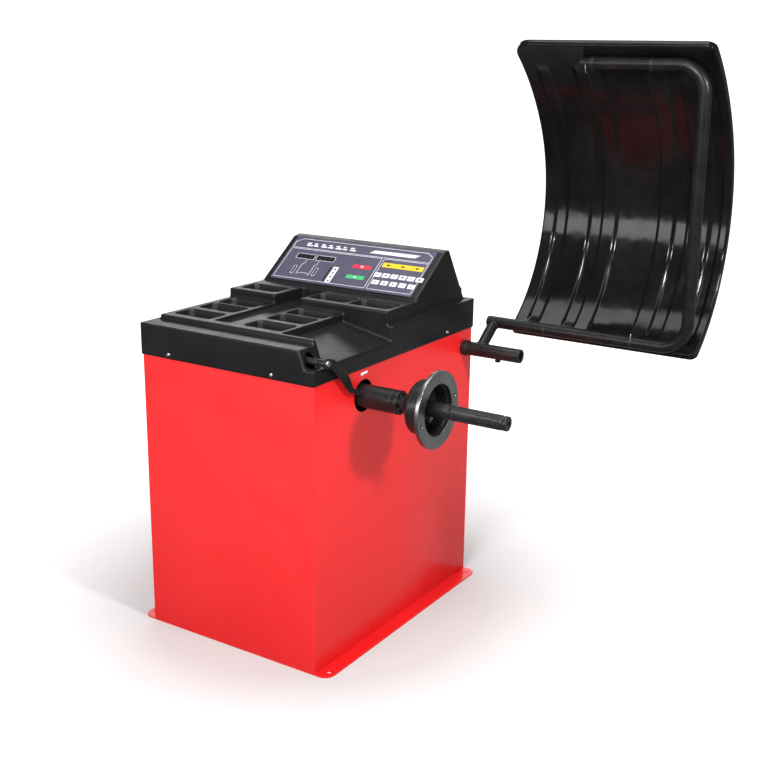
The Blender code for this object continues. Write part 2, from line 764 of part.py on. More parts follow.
def build_electrics():
    board = material("board_green", (0.02, 0.16, 0.06), 0.5)
    inside = CABINET_HALF_Y - SHEET - GAP
    main = put("main_board", box((-0.100, 0.3580, 0.430), (0.100, 0.3596, 0.570)), board)
    unite(main, box((-0.080, 0.340, 0.450), (-0.020, 0.3585, 0.500)))
    unite(main, box((0.010, 0.346, 0.470), (0.050, 0.3585, 0.540)))
    for x in (-0.092, 0.092):
        for z in (0.438, 0.562):
            unite(main, rod((x, 0.3590, z), (x, inside, z), 0.0035, 10))
    back = CABINET_HALF_Y
    frame = put(
        "switch_frame", box((-0.184, back + GAP, 0.582), (-0.146, back + 0.003, 0.618)),
        black_plastic(),
    )
    unite(frame, box((-0.1805, back - 0.016, 0.5855), (-0.1495, back + 0.001, 0.6145)))
    cut(frame, box((-0.176, back - 0.012, 0.588), (-0.154, back + 0.02, 0.612)))
    rocker = prism(
        [(back - 0.008, 0.5895), (back + 0.0025, 0.5900), (back + 0.0005, 0.600),
         (back + 0.0035, 0.6105), (back - 0.008, 0.6105)],
        "X", -0.1755, -0.1545,
    )
    put("switch_rocker", rocker, red_paint(), (-0.165, back - 0.004, 0.600))
    put(
        "cord_inlet",
        turned_y((-0.165, 0.530), [(back - 0.012, 0.0092), (back + GAP, 0.0092),
                                   (back + GAP, 0.014), (back + 0.006, 0.014),
                                   (back + 0.014, 0.008), (back + 0.014, 0.004),
                                   (back - 0.012, 0.004)]),
        black_plastic(),
    )


def turned_y(centre, profile, sides=20):
    """A ring turned about a line along Y through centre (x, z); profile is (y, radius)."""
    shape = turned(profile, (0.0, 0.0), sides)
    for vert in shape.verts:
        along, across, up = vert.co
        vert.co = (centre[0] - across, along, centre[1] + up)
    return shape


# ---------------------------------------------------------------- distance gauge

def gauge_arm_outline():
    """The flat arm seen along X: a lug on the rod, a cranked strip, and a finger that rests
    on the spindle housing."""
    lug = arc((GAUGE_Y, GAUGE_Z), 0.013, 90, 270, 8)
    below = [(-0.3305, 0.773), (-0.307, 0.754), (-0.2835, 0.7285), (-0.253, 0.696), (-0.222, 0.686)]
    finger = [(-0.1982, 0.6738), (-0.1955, 0.6796)]
    above = [
        (-0.220, 0.6965), (-0.239, 0.7045), (-0.254, 0.733), (-0.2685, 0.755), (-0.294, 0.7745),
        (-0.322, 0.7945),
    ]
    return lug + below + finger + above


def build_gauge():
    axis = (GAUGE_Y, GAUGE_Z)
    bore = ROD_R + 0.0004
    put(
        "gauge_bush",
        turned([(0.180, 0.0172), (0.216, 0.0172), (0.216, bore), (0.180, bore)], axis, 24),
        black_plastic(),
    )
    origin = (0.0, GAUGE_Y, GAUGE_Z)
    put(
        "gauge_rod",
        turned([(ROD_X[0], 0), (ROD_X[0], ROD_R), (ROD_X[1] - 0.001, ROD_R),
                (ROD_X[1], ROD_R - 0.001), (ROD_X[1], 0)], axis, 24),
        black_steel(), origin,
    )
    arm = put("gauge_arm", prism(gauge_arm_outline(), "X", *ARM_X), black_steel(), origin)
    cut(arm, rod((0.27, *axis), (0.29, *axis), 0.0046, 16))
    put(
        "gauge_screw",
        turned([(ARM_X[0] + GAP, 0), (ARM_X[0] + GAP, 0.0042), (ARM_X[1] + GAP, 0.0042),
                (ARM_X[1] + GAP, 0.0075), (ARM_X[1] + 0.005, 0.0068), (ARM_X[1] + 0.005, 0.0030),
                (ARM_X[1] + 0.002, 0.0030), (ARM_X[1] + 0.002, 0)], axis, 16),
        bright_steel(), origin,
    )
    put(
        "gauge_carriage",
        turned([(0.048, ROD_R + GAP), (0.048, 0.0150), (0.066, 0.0150), (0.066, ROD_R + GAP)],
               axis, 20),
        white_plastic(), origin,
    )


# ---------------------------------------------------------------- guard

def guard_profile(offset, steps_low=17, steps_high=6):
    """Points (y, z) down the guard's section, from its lower edge to its upper edge."""
    low = arc(GUARD_CENTRE, GUARD_RADIUS + offset, GUARD_LOW_ANGLE, GUARD_TURN_ANGLE, steps_low)
    turn = math.radians(GUARD_TURN_ANGLE)
    shift = GUARD_RADIUS - GUARD_UPPER_RADIUS
    centre = GUARD_CENTRE + Vector((math.cos(turn), math.sin(turn))) * shift
    high = arc(
        centre, GUARD_UPPER_RADIUS + offset, GUARD_TURN_ANGLE,
        GUARD_TURN_ANGLE + GUARD_UPPER_SWEEP, steps_high,
    )
    return low + high[1:]


def guard_ribs():
    """Places across the guard, 0 to 1, with how far each stands back from its inner face."""
    deep = GUARD_RIB
    return [
        (0.000, 0.0), (0.055, 0.0), (0.070, deep), (0.130, deep), (0.145, 0.0), (0.255, 0.0),
        (0.270, deep), (0.330, deep), (0.345, 0.0), (0.405, 0.0), (0.420, deep), (0.635, deep),
        (0.650, 0.0), (0.710, 0.0), (0.725, deep), (0.785, deep), (0.800, 0.0), (0.915, 0.0),
        (0.930, deep), (0.955, deep), (0.970, 0.0), (1.000, 0.0),
    ]


def guard_side_inset(along, left):
    """How far the side edge draws in near the upper edge, where the corner is rounded."""
    radius = 0.040 if left else 0.014
    if along >= radius:
        return 0.0
    return radius - math.sqrt(radius ** 2 - (radius - along) ** 2)


def build_guard_shell():
    """One thin moulded skin: ribs along its length, and a rim turned back all round."""
    levels = {depth: guard_profile(depth) for depth in (0.0, GUARD_RIB, GUARD_RIM)}
    count = len(levels[0.0])
    spacing = [
        (Vector(levels[0.0][i + 1]) - Vector(levels[0.0][i])).length for i in range(count - 1)
    ]
    shape = bmesh.new()
    rows = []
    for i in range(count):
        to_top = sum(spacing[i:])
        left = GUARD_X[0] + guard_side_inset(to_top, True)
        right = GUARD_X[1] - guard_side_inset(to_top, False)
        row = [(left, GUARD_RIM)]
        flat_end = i in (0, count - 1)
        for place, depth in guard_ribs():
            row.append((left + (right - left) * place, 0.0 if flat_end else depth))
        row.append((right, GUARD_RIM))
        rows.append([shape.verts.new((x, *levels[depth][i])) for x, depth in row])
    for end in (0, -1):
        rim = []
        for vert in rows[end]:
            y, z = levels[GUARD_RIM][end if end == 0 else count - 1]
            rim.append(shape.verts.new((vert.co.x, y, z)))
        if end == 0:
            rows.insert(0, rim)
        else:
            rows.append(rim)
    for lower, upper in zip(rows, rows[1:]):
        for k in range(len(lower) - 1):
            shape.faces.new((lower[k], lower[k + 1], upper[k + 1], upper[k]))
    bmesh.ops.remove_doubles(shape, verts=shape.verts, dist=1e-5)
    shell = put("guard_shell", shape, gloss_black(), (0.0, PIVOT_Y, PIVOT_Z))
    thicken = shell.modifiers.new("skin", "SOLIDIFY")
    thicken.thickness = GUARD_SKIN
    thicken.offset = -1.0
    thicken.use_even_offset = True


def frame_path():
    """Centre line of the bent tube: lower run, outer upright and upper run."""
    inset = -(FRAME_R + 0.0012)
    y0, z0 = guard_profile(inset)[0]
    y1, z1 = guard_profile(inset)[-2]
    low, high = Vector((y0, z0)), Vector((y1, z1))
    rise = (high - low).length
    outer_x = GUARD_X[1] - FRAME_R - 0.006
    bend = 0.070
    flat = [(0.299, 0.0)]
    flat += arc((outer_x - bend, bend), bend, -90, 0, 7)
    flat += arc((outer_x - bend, rise - bend), bend, 0, 90, 7)
    flat += [(0.545, rise)]
    points = []
    for x, up in flat:
        y, z = low + (high - low) * (up / rise)
        points.append((x, y, z))
    return points


def build_guard():
    pivot = (0.0, PIVOT_Y, PIVOT_Z)
    centre = (PIVOT_Y, PIVOT_Z)
    inner, outer = PIVOT_TUBE_R
    shaft_r = inner - GAP
    put(
        "guard_shaft",
        turned([(0.120, 0), (0.120, shaft_r - 0.001), (0.121, shaft_r), (0.404, shaft_r),
                (0.405, shaft_r - 0.001), (0.405, 0)], centre, 24),
        bright_steel(), pivot,
    )
    put(
        "guard_collar",
        turned([(CABINET_HALF_X + GAP, 0.0215), (0.281, 0.0215), (0.2835, 0.020),
                (0.2835, inner + 0.0004), (CABINET_HALF_X + GAP, inner + 0.0004)], centre, 28),
        black_steel(),
    )
    bracket = put(
        "guard_bracket", box((0.140, 0.290, 0.655), (0.160, CABINET_HALF_Y - SHEET - GAP, 0.717)),
        black_steel(),
    )
    cut(bracket, rod((0.12, *centre), (0.18, *centre), inner + 0.0004, 24))
    tube = put(
        "guard_tube",
        turned([(PIVOT_TUBE_X[0], outer), (PIVOT_TUBE_X[1] - 0.001, outer),
                (PIVOT_TUBE_X[1], outer - 0.001), (PIVOT_TUBE_X[1], inner),
                (PIVOT_TUBE_X[0], inner)], centre, 28),
        black_steel(), pivot,
    )
    bolt_x = 0.373
    cut(tube, rod((bolt_x, PIVOT_Y, 0.64), (bolt_x, PIVOT_Y, PIVOT_Z), 0.0043, 16))
    bolt = put(
        "guard_bolt",
        rod((bolt_x, PIVOT_Y, PIVOT_Z - 0.0260), (bolt_x, PIVOT_Y, PIVOT_Z - 0.0195), 0.0080, 6),
        black_steel(), pivot,
    )
    unite(bolt, rod(
        (bolt_x, PIVOT_Y, PIVOT_Z - 0.0220), (bolt_x, PIVOT_Y, PIVOT_Z - inner - GAP), 0.0040, 16
    ))
    path = frame_path()
    put("guard_frame", pipe(path, FRAME_R, FRAME_R - FRAME_WALL), black_steel(), pivot)
    foot = Vector((ARM_CENTRE_X, PIVOT_Y, PIVOT_Z))
    head = Vector((ARM_CENTRE_X, path[0][1], path[0][2]))
    arm = put("guard_arm", rod(foot, head, ARM_R, 18), black_steel())
    cut(arm, rod((0.28, *foot.yz), (0.36, *foot.yz), outer + GAP, 28))
    cut(arm, rod((0.28, *head.yz), (0.36, *head.yz), FRAME_R + GAP, 28))
    put("guard_switch", box((0.172, 0.290, 0.640), (0.190, 0.330, 0.6630)), black_plastic())
    build_guard_shell()


def main():
    clear_scene()
    build_base_plate()
    build_cabinet()
    build_top_cover()
    build_cover_screws()
    build_display_panel()
    build_spindle()
    build_spindle_support()
    build_drive()
    build_electrics()
    build_gauge()
    build_guard()


main()
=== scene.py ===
"""Looks of the wheel balancer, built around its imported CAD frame.

Everything is in metres in the row frame: +Z up, +X the side that the spindle leaves, -Y the
operator's side. Order: camera; materials; stage and lights; mesh helpers; then each sub-part.
"""

import json
import math

import bmesh
import bpy
from mathutils import Matrix, Vector

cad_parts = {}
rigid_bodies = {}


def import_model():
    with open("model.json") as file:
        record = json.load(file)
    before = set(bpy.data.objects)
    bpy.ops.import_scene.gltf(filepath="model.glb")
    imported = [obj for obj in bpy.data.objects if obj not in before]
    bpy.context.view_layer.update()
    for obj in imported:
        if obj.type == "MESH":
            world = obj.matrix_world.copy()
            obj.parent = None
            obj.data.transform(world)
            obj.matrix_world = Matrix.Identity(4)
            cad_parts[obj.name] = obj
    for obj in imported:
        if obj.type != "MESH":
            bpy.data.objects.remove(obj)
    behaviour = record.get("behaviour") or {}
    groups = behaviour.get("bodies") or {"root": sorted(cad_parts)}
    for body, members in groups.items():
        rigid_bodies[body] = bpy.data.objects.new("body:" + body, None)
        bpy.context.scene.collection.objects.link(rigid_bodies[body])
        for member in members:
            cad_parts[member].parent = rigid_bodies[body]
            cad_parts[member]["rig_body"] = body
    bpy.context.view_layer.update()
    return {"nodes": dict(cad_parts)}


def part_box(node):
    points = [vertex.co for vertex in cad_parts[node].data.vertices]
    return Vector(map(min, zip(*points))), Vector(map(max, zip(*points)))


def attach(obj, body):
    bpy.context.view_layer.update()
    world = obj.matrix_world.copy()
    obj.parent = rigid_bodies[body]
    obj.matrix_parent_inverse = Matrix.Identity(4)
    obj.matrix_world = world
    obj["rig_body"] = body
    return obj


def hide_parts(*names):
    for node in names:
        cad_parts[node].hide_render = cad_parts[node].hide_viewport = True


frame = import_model()
NODES = frame["nodes"]


def middle(node):
    low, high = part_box(node)
    return (low + high) / 2


# ---------------------------------------------------------------- camera

CAMERA_PLACE = Vector((1.7818, -2.4444, 1.4814))
CAMERA_YAW = math.radians(32.65)
CAMERA_PITCH = math.radians(16.01)
CAMERA_ROLL = math.radians(0.77)
CAMERA_LENS = 54.89


def make_camera():
    data = bpy.data.cameras.new("camera")
    data.lens = CAMERA_LENS
    data.sensor_width = 36.0
    data.clip_end = 100.0
    camera = bpy.data.objects.new("camera", data)
    bpy.context.scene.collection.objects.link(camera)
    forward = Vector((
        -math.sin(CAMERA_YAW) * math.cos(CAMERA_PITCH),
        math.cos(CAMERA_YAW) * math.cos(CAMERA_PITCH),
        -math.sin(CAMERA_PITCH),
    ))
    level = Vector((math.cos(CAMERA_YAW), math.sin(CAMERA_YAW), 0.0))
    upright = level.cross(forward)
    right = level * math.cos(CAMERA_ROLL) + upright * math.sin(CAMERA_ROLL)
    up = upright * math.cos(CAMERA_ROLL) - level * math.sin(CAMERA_ROLL)
    turn = Matrix((right, up, -forward)).transposed().to_4x4()
    camera.matrix_world = Matrix.Translation(CAMERA_PLACE) @ turn
    bpy.context.scene.camera = camera


# ---------------------------------------------------------------- materials

def look(name, colour, roughness, metallic=0.0, **sockets):
    """A Principled material, with the shader's plain values set on its own sockets."""
    made = bpy.data.materials.new(name)
    made.use_nodes = True
    shader = made.node_tree.nodes["Principled BSDF"]
    shader.inputs["Base Color"].default_value = (*colour, 1.0)
    shader.inputs["Roughness"].default_value = roughness
    shader.inputs["Metallic"].default_value = metallic
    for socket, value in sockets.items():
        shader.inputs[socket.replace("_", " ")].default_value = value
    made.diffuse_color = (*colour, 1.0)
    return made


def add(made, kind, inputs=None, **settings):
    node = made.node_tree.nodes.new("ShaderNode" + kind)
    for key, value in settings.items():
        setattr(node, key, value)
    for socket, value in (inputs or {}).items():
        if isinstance(value, bpy.types.NodeSocket):
            made.node_tree.links.new(value, node.inputs[socket])
        else:
            node.inputs[socket].default_value = value
    return node


def shader_input(made, socket, output):
    made.node_tree.links.new(output, made.node_tree.nodes["Principled BSDF"].inputs[socket])


def place_on(made):
    return add(made, "TexCoord").outputs["Object"]


def noise(made, scale, detail=3.0, vector=None):
    inputs = {"Scale": scale, "Detail": detail, "Vector": vector or place_on(made)}
    return add(made, "TexNoise", inputs).outputs["Fac"]


def remap(made, value, low, high, to_low, to_high):
    inputs = {"Value": value, "From Min": low, "From Max": high, "To Min": to_low, "To Max": to_high}
    return add(made, "MapRange", inputs).outputs["Result"]


def blend_colour(made, factor, first, second):
    """A colour mix: each side is a colour or an output."""
    node = add(made, "Mix", data_type="RGBA")
    for index, value in ((0, factor), (6, first), (7, second)):
        if isinstance(value, bpy.types.NodeSocket):
            made.node_tree.links.new(value, node.inputs[index])
        elif index == 0:
            node.inputs[index].default_value = value
        else:
            node.inputs[index].default_value = (*value, 1.0)
    return node.outputs[2]


def multiply(made, first, second):
    return add(made, "Math", {0: first, 1: second}, operation="MULTIPLY").outputs[0]


def drift_mask(made, scale, detail, high=0.7):
    """Slow noise spread over 0 to 1, for a colour that drifts."""
    return remap(made, noise(made, scale, detail), 0.35, high, 0.0, 1.0)


def press_grain(made, height, depth):
    """Bumps the surface by height, a noise output, to depth in metres."""
    bump = add(made, "Bump", {"Height": height, "Distance": depth})
    shader_input(made, "Normal", bump.outputs["Normal"])


def edge_mask(made, radius, low=0.02, high=0.22):
    """1 on edges, 0 on flat faces: how far a bevelled normal turns from the true one."""
    rounded = add(made, "Bevel", {"Radius": radius}, samples=4).outputs["Normal"]
    true = add(made, "NewGeometry").outputs["Normal"]
    turn = add(made, "VectorMath", {0: rounded, 1: true}, operation="DOT_PRODUCT")
    away = add(made, "Math", {0: 1.0, 1: turn.outputs["Value"]}, operation="SUBTRACT")
    return remap(made, away.outputs[0], low, high, 0.0, 1.0)


def finish_surface(made, colour, tint, blotch, roughness, spread, grain, depth, wear=None):
    """Colour drift, uneven gloss, surface grain and, where asked for, worn edges.

    tint is the second colour, blotch the drift's scale, grain the bump's scale and depth its
    height in metres; wear is (colour, edge radius, strength).
    """
    paint = blend_colour(made, drift_mask(made, blotch, 4.0, 0.68), colour, tint)
    gloss = remap(
        made, noise(made, blotch * 5.3, 5.0), 0.3, 0.7, roughness - spread, roughness + spread
    )
    if wear:
        worn_colour, radius, strength = wear
        ragged = remap(made, noise(made, 160.0, 5.0), 0.42, 0.62, 0.0, strength)
        mask = multiply(made, edge_mask(made, radius), ragged)
        paint = blend_colour(made, mask, paint, worn_colour)
    shader_input(made, "Base Color", paint)
    shader_input(made, "Roughness", gloss)
    press_grain(made, noise(made, grain, 2.0), depth)
    return made


def red_paint():
    made = look(
        "red_powder_coat", (0.66, 0.012, 0.012), 0.33, Coat_Weight=0.12, Coat_Roughness=0.2,
        Specular_IOR_Level=0.45,
    )
    return finish_surface(
        made, (0.67, 0.011, 0.012), (0.62, 0.009, 0.010), 2.2, 0.34, 0.05, 420.0, 0.00005,
        ((0.80, 0.10, 0.08), 0.002, 0.45),
    )


def moulded_black():
    made = look("moulded_black_abs", (0.006, 0.006, 0.0064), 0.40, Specular_IOR_Level=0.34)
    return finish_surface(
        made, (0.0055, 0.0055, 0.006), (0.009, 0.009, 0.0095), 5.0, 0.39, 0.05, 1100.0, 0.00008,
        ((0.050, 0.050, 0.052), 0.003, 0.5),
    )


def satin_black():
    made = look("satin_black_steel", (0.010, 0.010, 0.0105), 0.36, Specular_IOR_Level=0.34)
    return finish_surface(
        made, (0.007, 0.007, 0.0074), (0.013, 0.013, 0.0135), 14.0, 0.36, 0.09, 620.0,
        0.00008, ((0.16, 0.16, 0.165), 0.0012, 0.7),
    )


def rough_tube():
    """Powder-coated tube with a slightly pebbled skin."""
    made = look("pebbled_black_tube", (0.008, 0.008, 0.0085), 0.34, Specular_IOR_Level=0.26)
    return finish_surface(
        made, (0.005, 0.005, 0.0053), (0.010, 0.010, 0.0105), 30.0, 0.33, 0.08, 300.0, 0.00030,
    )


def gloss_sheet():
    """Vacuum-formed gloss sheet: deep black, slow waves, faint handling marks."""
    made = look("gloss_formed_sheet", (0.004, 0.004, 0.0043), 0.17, Specular_IOR_Level=0.27)
    paint = blend_colour(
        made, drift_mask(made, 9.0, 5.0), (0.0035, 0.0035, 0.0038), (0.0075, 0.0075, 0.008)
    )
    shader_input(made, "Base Color", paint)
    smear = remap(made, noise(made, 26.0, 6.0), 0.35, 0.7, 0.09, 0.17)
    shader_input(made, "Roughness", smear)
    slow = add(made, "Bump", {"Height": noise(made, 11.0, 2.0), "Distance": 0.0016})
    fine = add(made, "Bump", {
        "Height": noise(made, 500.0, 2.0), "Distance": 0.00003,
        "Normal": slow.outputs["Normal"],
    })
    shader_input(made, "Normal", fine.outputs["Normal"])
    return made


def lathe_lines(made, fineness):
    """Noise that runs in circles about the object's own X axis, as a lathe leaves."""
    parts = add(made, "SeparateXYZ", {"Vector": place_on(made)})
    flat = add(made, "CombineXYZ", {"Y": parts.outputs["Y"], "Z": parts.outputs["Z"]})
    radius = add(made, "VectorMath", {0: flat.outputs["Vector"]}, operation="LENGTH")
    lines = add(made, "CombineXYZ", {"X": parts.outputs["X"], "Y": radius.outputs["Value"]})
    return noise(made, fineness, 2.0, lines.outputs["Vector"])


def turned_steel():
    colour, roughness = (0.36, 0.365, 0.37), 0.27
    made = look("turned_steel", colour, roughness, 1.0, Anisotropic=0.55)
    lines = lathe_lines(made, 1500.0)
    dull = tuple(value * 0.80 for value in colour)
    shader_input(made, "Base Color", blend_colour(made, drift_mask(made, 26.0, 4.0), colour, dull))
    rough = remap(made, lines, 0.3, 0.7, roughness - 0.06, roughness + 0.10)
    shader_input(made, "Roughness", rough)
    press_grain(made, lines, 0.00005)
    tangent = add(made, "Tangent", direction_type="RADIAL", axis="X")
    shader_input(made, "Tangent", tangent.outputs["Tangent"])
    return made


def zinc_steel():
    made = look("zinc_plated_steel", (0.66, 0.66, 0.67), 0.3, 1.0)
    return finish_surface(
        made, (0.66, 0.66, 0.67), (0.52, 0.53, 0.55), 60.0, 0.30, 0.08, 900.0, 0.00004
    )


def oiled_black():
    """Blackened turned steel of the spindle, with lathe lines and bright rubbed edges."""
    made = look("blackened_steel", (0.022, 0.022, 0.023), 0.32, 0.55)
    lines = lathe_lines(made, 900.0)
    drift = drift_mask(made, 40.0, 5.0)
    paint = blend_colour(made, drift, (0.018, 0.018, 0.019), (0.032, 0.032, 0.034))
    ragged = remap(made, noise(made, 260.0, 5.0), 0.40, 0.60, 0.1, 0.9)
    mask = multiply(made, edge_mask(made, 0.0009), ragged)
    shader_input(made, "Base Color", blend_colour(made, mask, paint, (0.30, 0.30, 0.31)))
    shader_input(made, "Roughness", remap(made, lines, 0.3, 0.7, 0.25, 0.42))
    press_grain(made, lines, 0.00006)
    return made


def plastic(name, colour, tint, roughness, grain=900.0, depth=0.00004):
    made = look(name, colour, roughness, Specular_IOR_Level=0.36)
    return finish_surface(made, colour, tint, 35.0, roughness, 0.06, grain, depth)


def floor_look():
    """Pale floor that glows evenly away from the machine, as a lit studio sweep does."""
    made = look("pale_floor", (0.52, 0.52, 0.525), 0.8, Specular_IOR_Level=0.1)
    drift = remap(made, noise(made, 1.3, 3.0), 0.3, 0.7, 0.0, 1.0)
    shader_input(made, "Base Color", blend_colour(made, drift, (0.51, 0.51, 0.515), (0.53, 0.53, 0.53)))
    parts = add(made, "SeparateXYZ", {"Vector": place_on(made)})
    flat = add(made, "CombineXYZ", {"X": parts.outputs["X"], "Y": parts.outputs["Y"]})
    away = add(made, "VectorMath", {0: flat.outputs["Vector"]}, operation="LENGTH")
    glow = remap(made, away.outputs["Value"], 0.48, 1.5, 0.0, 0.95)
    shader_input(made, "Emission Strength", glow)
    made.node_tree.nodes["Principled BSDF"].inputs["Emission Color"].default_value = (1, 1, 1, 1)
    return made


LOOKS = {
    "red_paint": red_paint(),
    "black_plastic": moulded_black(),
    "black_steel": satin_black(),
    "tube": rough_tube(),
    "gloss_black": gloss_sheet(),
    "ring": turned_steel(),
    "bright_steel": zinc_steel(),
    "spindle": oiled_black(),
    "panel_grey": plastic("printed_panel_film", (0.060, 0.059, 0.091), (0.068, 0.066, 0.100), 0.40,
                          700.0, 0.00003),
    "print_white": plastic("print_white", (0.78, 0.78, 0.80), (0.70, 0.70, 0.73), 0.45),
    "print_silver": plastic("print_silver", (0.50, 0.50, 0.54), (0.66, 0.66, 0.70), 0.35),
    "print_yellow": plastic("print_yellow", (0.62, 0.44, 0.020), (0.56, 0.40, 0.020), 0.42),
    "print_black": plastic("print_black", (0.012, 0.012, 0.014), (0.02, 0.02, 0.022), 0.45),
    "smoked_window": plastic("smoked_window", (0.010, 0.008, 0.009), (0.014, 0.010, 0.011), 0.14,
                             400.0, 0.00001),
    "digit": plastic("unlit_digit", (0.030, 0.020, 0.020), (0.038, 0.024, 0.024), 0.30),
    "key_white": plastic("key_white", (0.80, 0.80, 0.82), (0.72, 0.72, 0.74), 0.38),
    "key_red": plastic("key_red", (0.70, 0.028, 0.060), (0.62, 0.022, 0.050), 0.36),
    "key_green": plastic("key_green", (0.050, 0.42, 0.150), (0.042, 0.36, 0.130), 0.36),
    "board_green": plastic("solder_mask_green", (0.012, 0.12, 0.045), (0.018, 0.16, 0.06), 0.30),
    "belt_rubber": plastic("belt_rubber", (0.014, 0.014, 0.014), (0.022, 0.022, 0.021), 0.75,
                           1400.0, 0.0002),
    "white_plastic": plastic("natural_nylon", (0.76, 0.75, 0.70), (0.70, 0.69, 0.63), 0.42),
}


# ---------------------------------------------------------------- stage and lights

def make_stage():
    """A pale floor that curves up a long way behind the machine."""
    shape = bmesh.new()
    depth, rise, radius = 9.0, 7.0, 3.0
    line = [(-9.0, 0.0), (depth - radius, 0.0)]
    for i in range(1, 13):
        angle = math.radians(90 * i / 12)
        line.append((depth - radius + radius * math.sin(angle), radius - radius * math.cos(angle)))
    line.append((depth, rise))
    rows = [[shape.verts.new((x, y, z)) for x in (-14.0, 14.0)] for y, z in line]
    for low, high in zip(rows, rows[1:]):
        shape.faces.new((low[0], low[1], high[1], high[0]))
    mesh = bpy.data.meshes.new("stage_floor")
    shape.to_mesh(mesh)
    shape.free()
    mesh.shade_smooth()
    mesh.materials.append(floor_look())
    floor = bpy.data.objects.new("stage_floor", mesh)
    floor.rotation_euler = (0.0, 0.0, CAMERA_YAW)
    floor.visible_glossy = False
    bpy.context.scene.collection.objects.link(floor)


def softbox(name, place, target, size, power):
    data = bpy.data.lights.new(name, "AREA")
    data.shape = "RECTANGLE"
    data.size, data.size_y = size
    data.energy = power
    light = bpy.data.objects.new(name, data)
    light.location = place
    aim = Vector(target) - Vector(place)
    light.rotation_euler = aim.to_track_quat("-Z", "Y").to_euler()
    bpy.context.scene.collection.objects.link(light)


KEY_AIM = Vector((0.265, -0.130, 0.541))          # where the flange's shadow falls
KEY_FROM = Vector((0.211, -0.0385, 0.1256)).normalized()


def make_lights():
    scene = bpy.context.scene
    scene.view_settings.view_transform = "Standard"
    world = bpy.data.worlds.new("studio")
    world.use_nodes = True
    background = world.node_tree.nodes["Background"]
    background.inputs["Color"].default_value = (1.0, 1.0, 1.0, 1.0)
    way = add(world, "SeparateXYZ", {"Vector": add(world, "TexCoord").outputs["Generated"]})
    below = remap(world, way.outputs["Z"], -0.04, -0.22, 0.0, 1.0)
    behind = remap(world, way.outputs["Y"], 0.05, 0.50, 0.0, 1.0)
    sweep_light = multiply(world, multiply(world, below, behind), 0.22)
    total = add(world, "Math", {0: sweep_light, 1: 0.11}, operation="ADD")
    world.node_tree.links.new(total.outputs[0], background.inputs["Strength"])
    scene.world = world
    softbox("key", KEY_AIM + KEY_FROM * 4.2, KEY_AIM, (0.45, 0.45), 128.0)
    softbox("front_fill", (-1.6, -4.6, 1.9), (0.0, 0.0, 0.5), (2.2, 1.2), 54.0)
    softbox("overhead", (0.2, 0.3, 4.3), (0.1, 0.0, 0.6), (3.0, 3.0), 108.0)
    softbox("guard_band", (0.9, -3.3, 2.6), (0.62, 0.50, 1.15), (1.5, 0.22), 120.0)
    softbox("back_sheen", (-2.9, 4.6, 2.9), (0.0, 0.0, 0.8), (4.0, 1.3), 60.0)
    softbox("guard_sheen", (0.9, -2.4, 4.2), (0.62, 0.45, 0.95), (2.6, 1.6), 40.0)


# ---------------------------------------------------------------- mesh helpers

def piece(name, shape, finish, body, replaces=(), origin=(0.0, 0.0, 0.0), angle=38):
    """An object from a bmesh built about `origin`, riding on a body."""
    mesh = bpy.data.meshes.new(name)
    bmesh.ops.recalc_face_normals(shape, faces=shape.faces)
    shape.to_mesh(mesh)
    shape.free()
    mesh.materials.append(LOOKS[finish])
    mesh.shade_smooth()
    mesh.set_sharp_from_angle(angle=math.radians(angle))
    made = bpy.data.objects.new(name, mesh)
    made.location = origin
    bpy.context.scene.collection.objects.link(made)
    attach(made, body)
    if replaces:
        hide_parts(*replaces)
    return made


def arc(centre, radius, start, end, steps):
    points = []
    for i in range(steps + 1):
        angle = math.radians(start + (end - start) * i / steps)
        points.append((centre[0] + radius * math.cos(angle), centre[1] + radius * math.sin(angle)))
    return points


def rounded_rectangle(half_a, half_b, radius, steps=5):
    points = []
    for sign_a, sign_b, start in ((1, 1, 0), (-1, 1, 90), (-1, -1, 180), (1, -1, 270)):
        centre = (sign_a * (half_a - radius), sign_b * (half_b - radius))
        points += arc(centre, radius, start, start + 90, steps)
    return points


def shifted(outline, da, db):
    return [(a + da, b + db) for a, b in outline]


def soften(profile, radius, steps=4, closed=False):
    """The same profile with each corner rounded by up to `radius`."""
    points = [Vector(p) for p in profile]
    count = len(points)
    made = []
    for i, corner in enumerate(points):
        if not closed and i in (0, count - 1):
            made.append(tuple(corner))
            continue
        before, after = points[i - 1] - corner, points[(i + 1) % count] - corner
        reach = min(radius, before.length * 0.45, after.length * 0.45)
        start, end = corner + before.normalized() * reach, corner + after.normalized() * reach
        for k in range(steps + 1):
            t = k / steps
            point = start * (1 - t) ** 2 + corner * 2 * t * (1 - t) + end * t ** 2
            made.append(tuple(point))
    return made


def bridge(shape, first, second):
    """Adds the strip of faces between two loops of as many points."""
    count = len(first)
    for k in range(count):
        m = (k + 1) % count
        shape.faces.new((first[k], first[m], second[m], second[k]))


def turned(profile, sides=72, closed=False):
    """A form turned about the X axis from (x, radius) pairs; a radius of 0 closes on the axis."""
    shape = bmesh.new()
    rings = []
    for x, radius in profile:
        if radius <= 1e-7:
            rings.append([shape.verts.new((x, 0.0, 0.0))])
            continue
        ring = arc((0.0, 0.0), radius, 0, 360, sides)[:-1]
        rings.append([shape.verts.new((x, y, z)) for y, z in ring])
    pairs = list(zip(rings, rings[1:]))
    if closed:
        pairs.append((rings[-1], rings[0]))
    for first, second in pairs:
        if len(first) > 1 and len(second) > 1:
            bridge(shape, first, second)
            continue
        for i in range(sides if len(first) + len(second) > 2 else 0):
            j = (i + 1) % sides
            if len(first) == 1:
                shape.faces.new((first[0], second[i], second[j]))
            else:
                shape.faces.new((first[i], first[j], second[0]))
    return shape


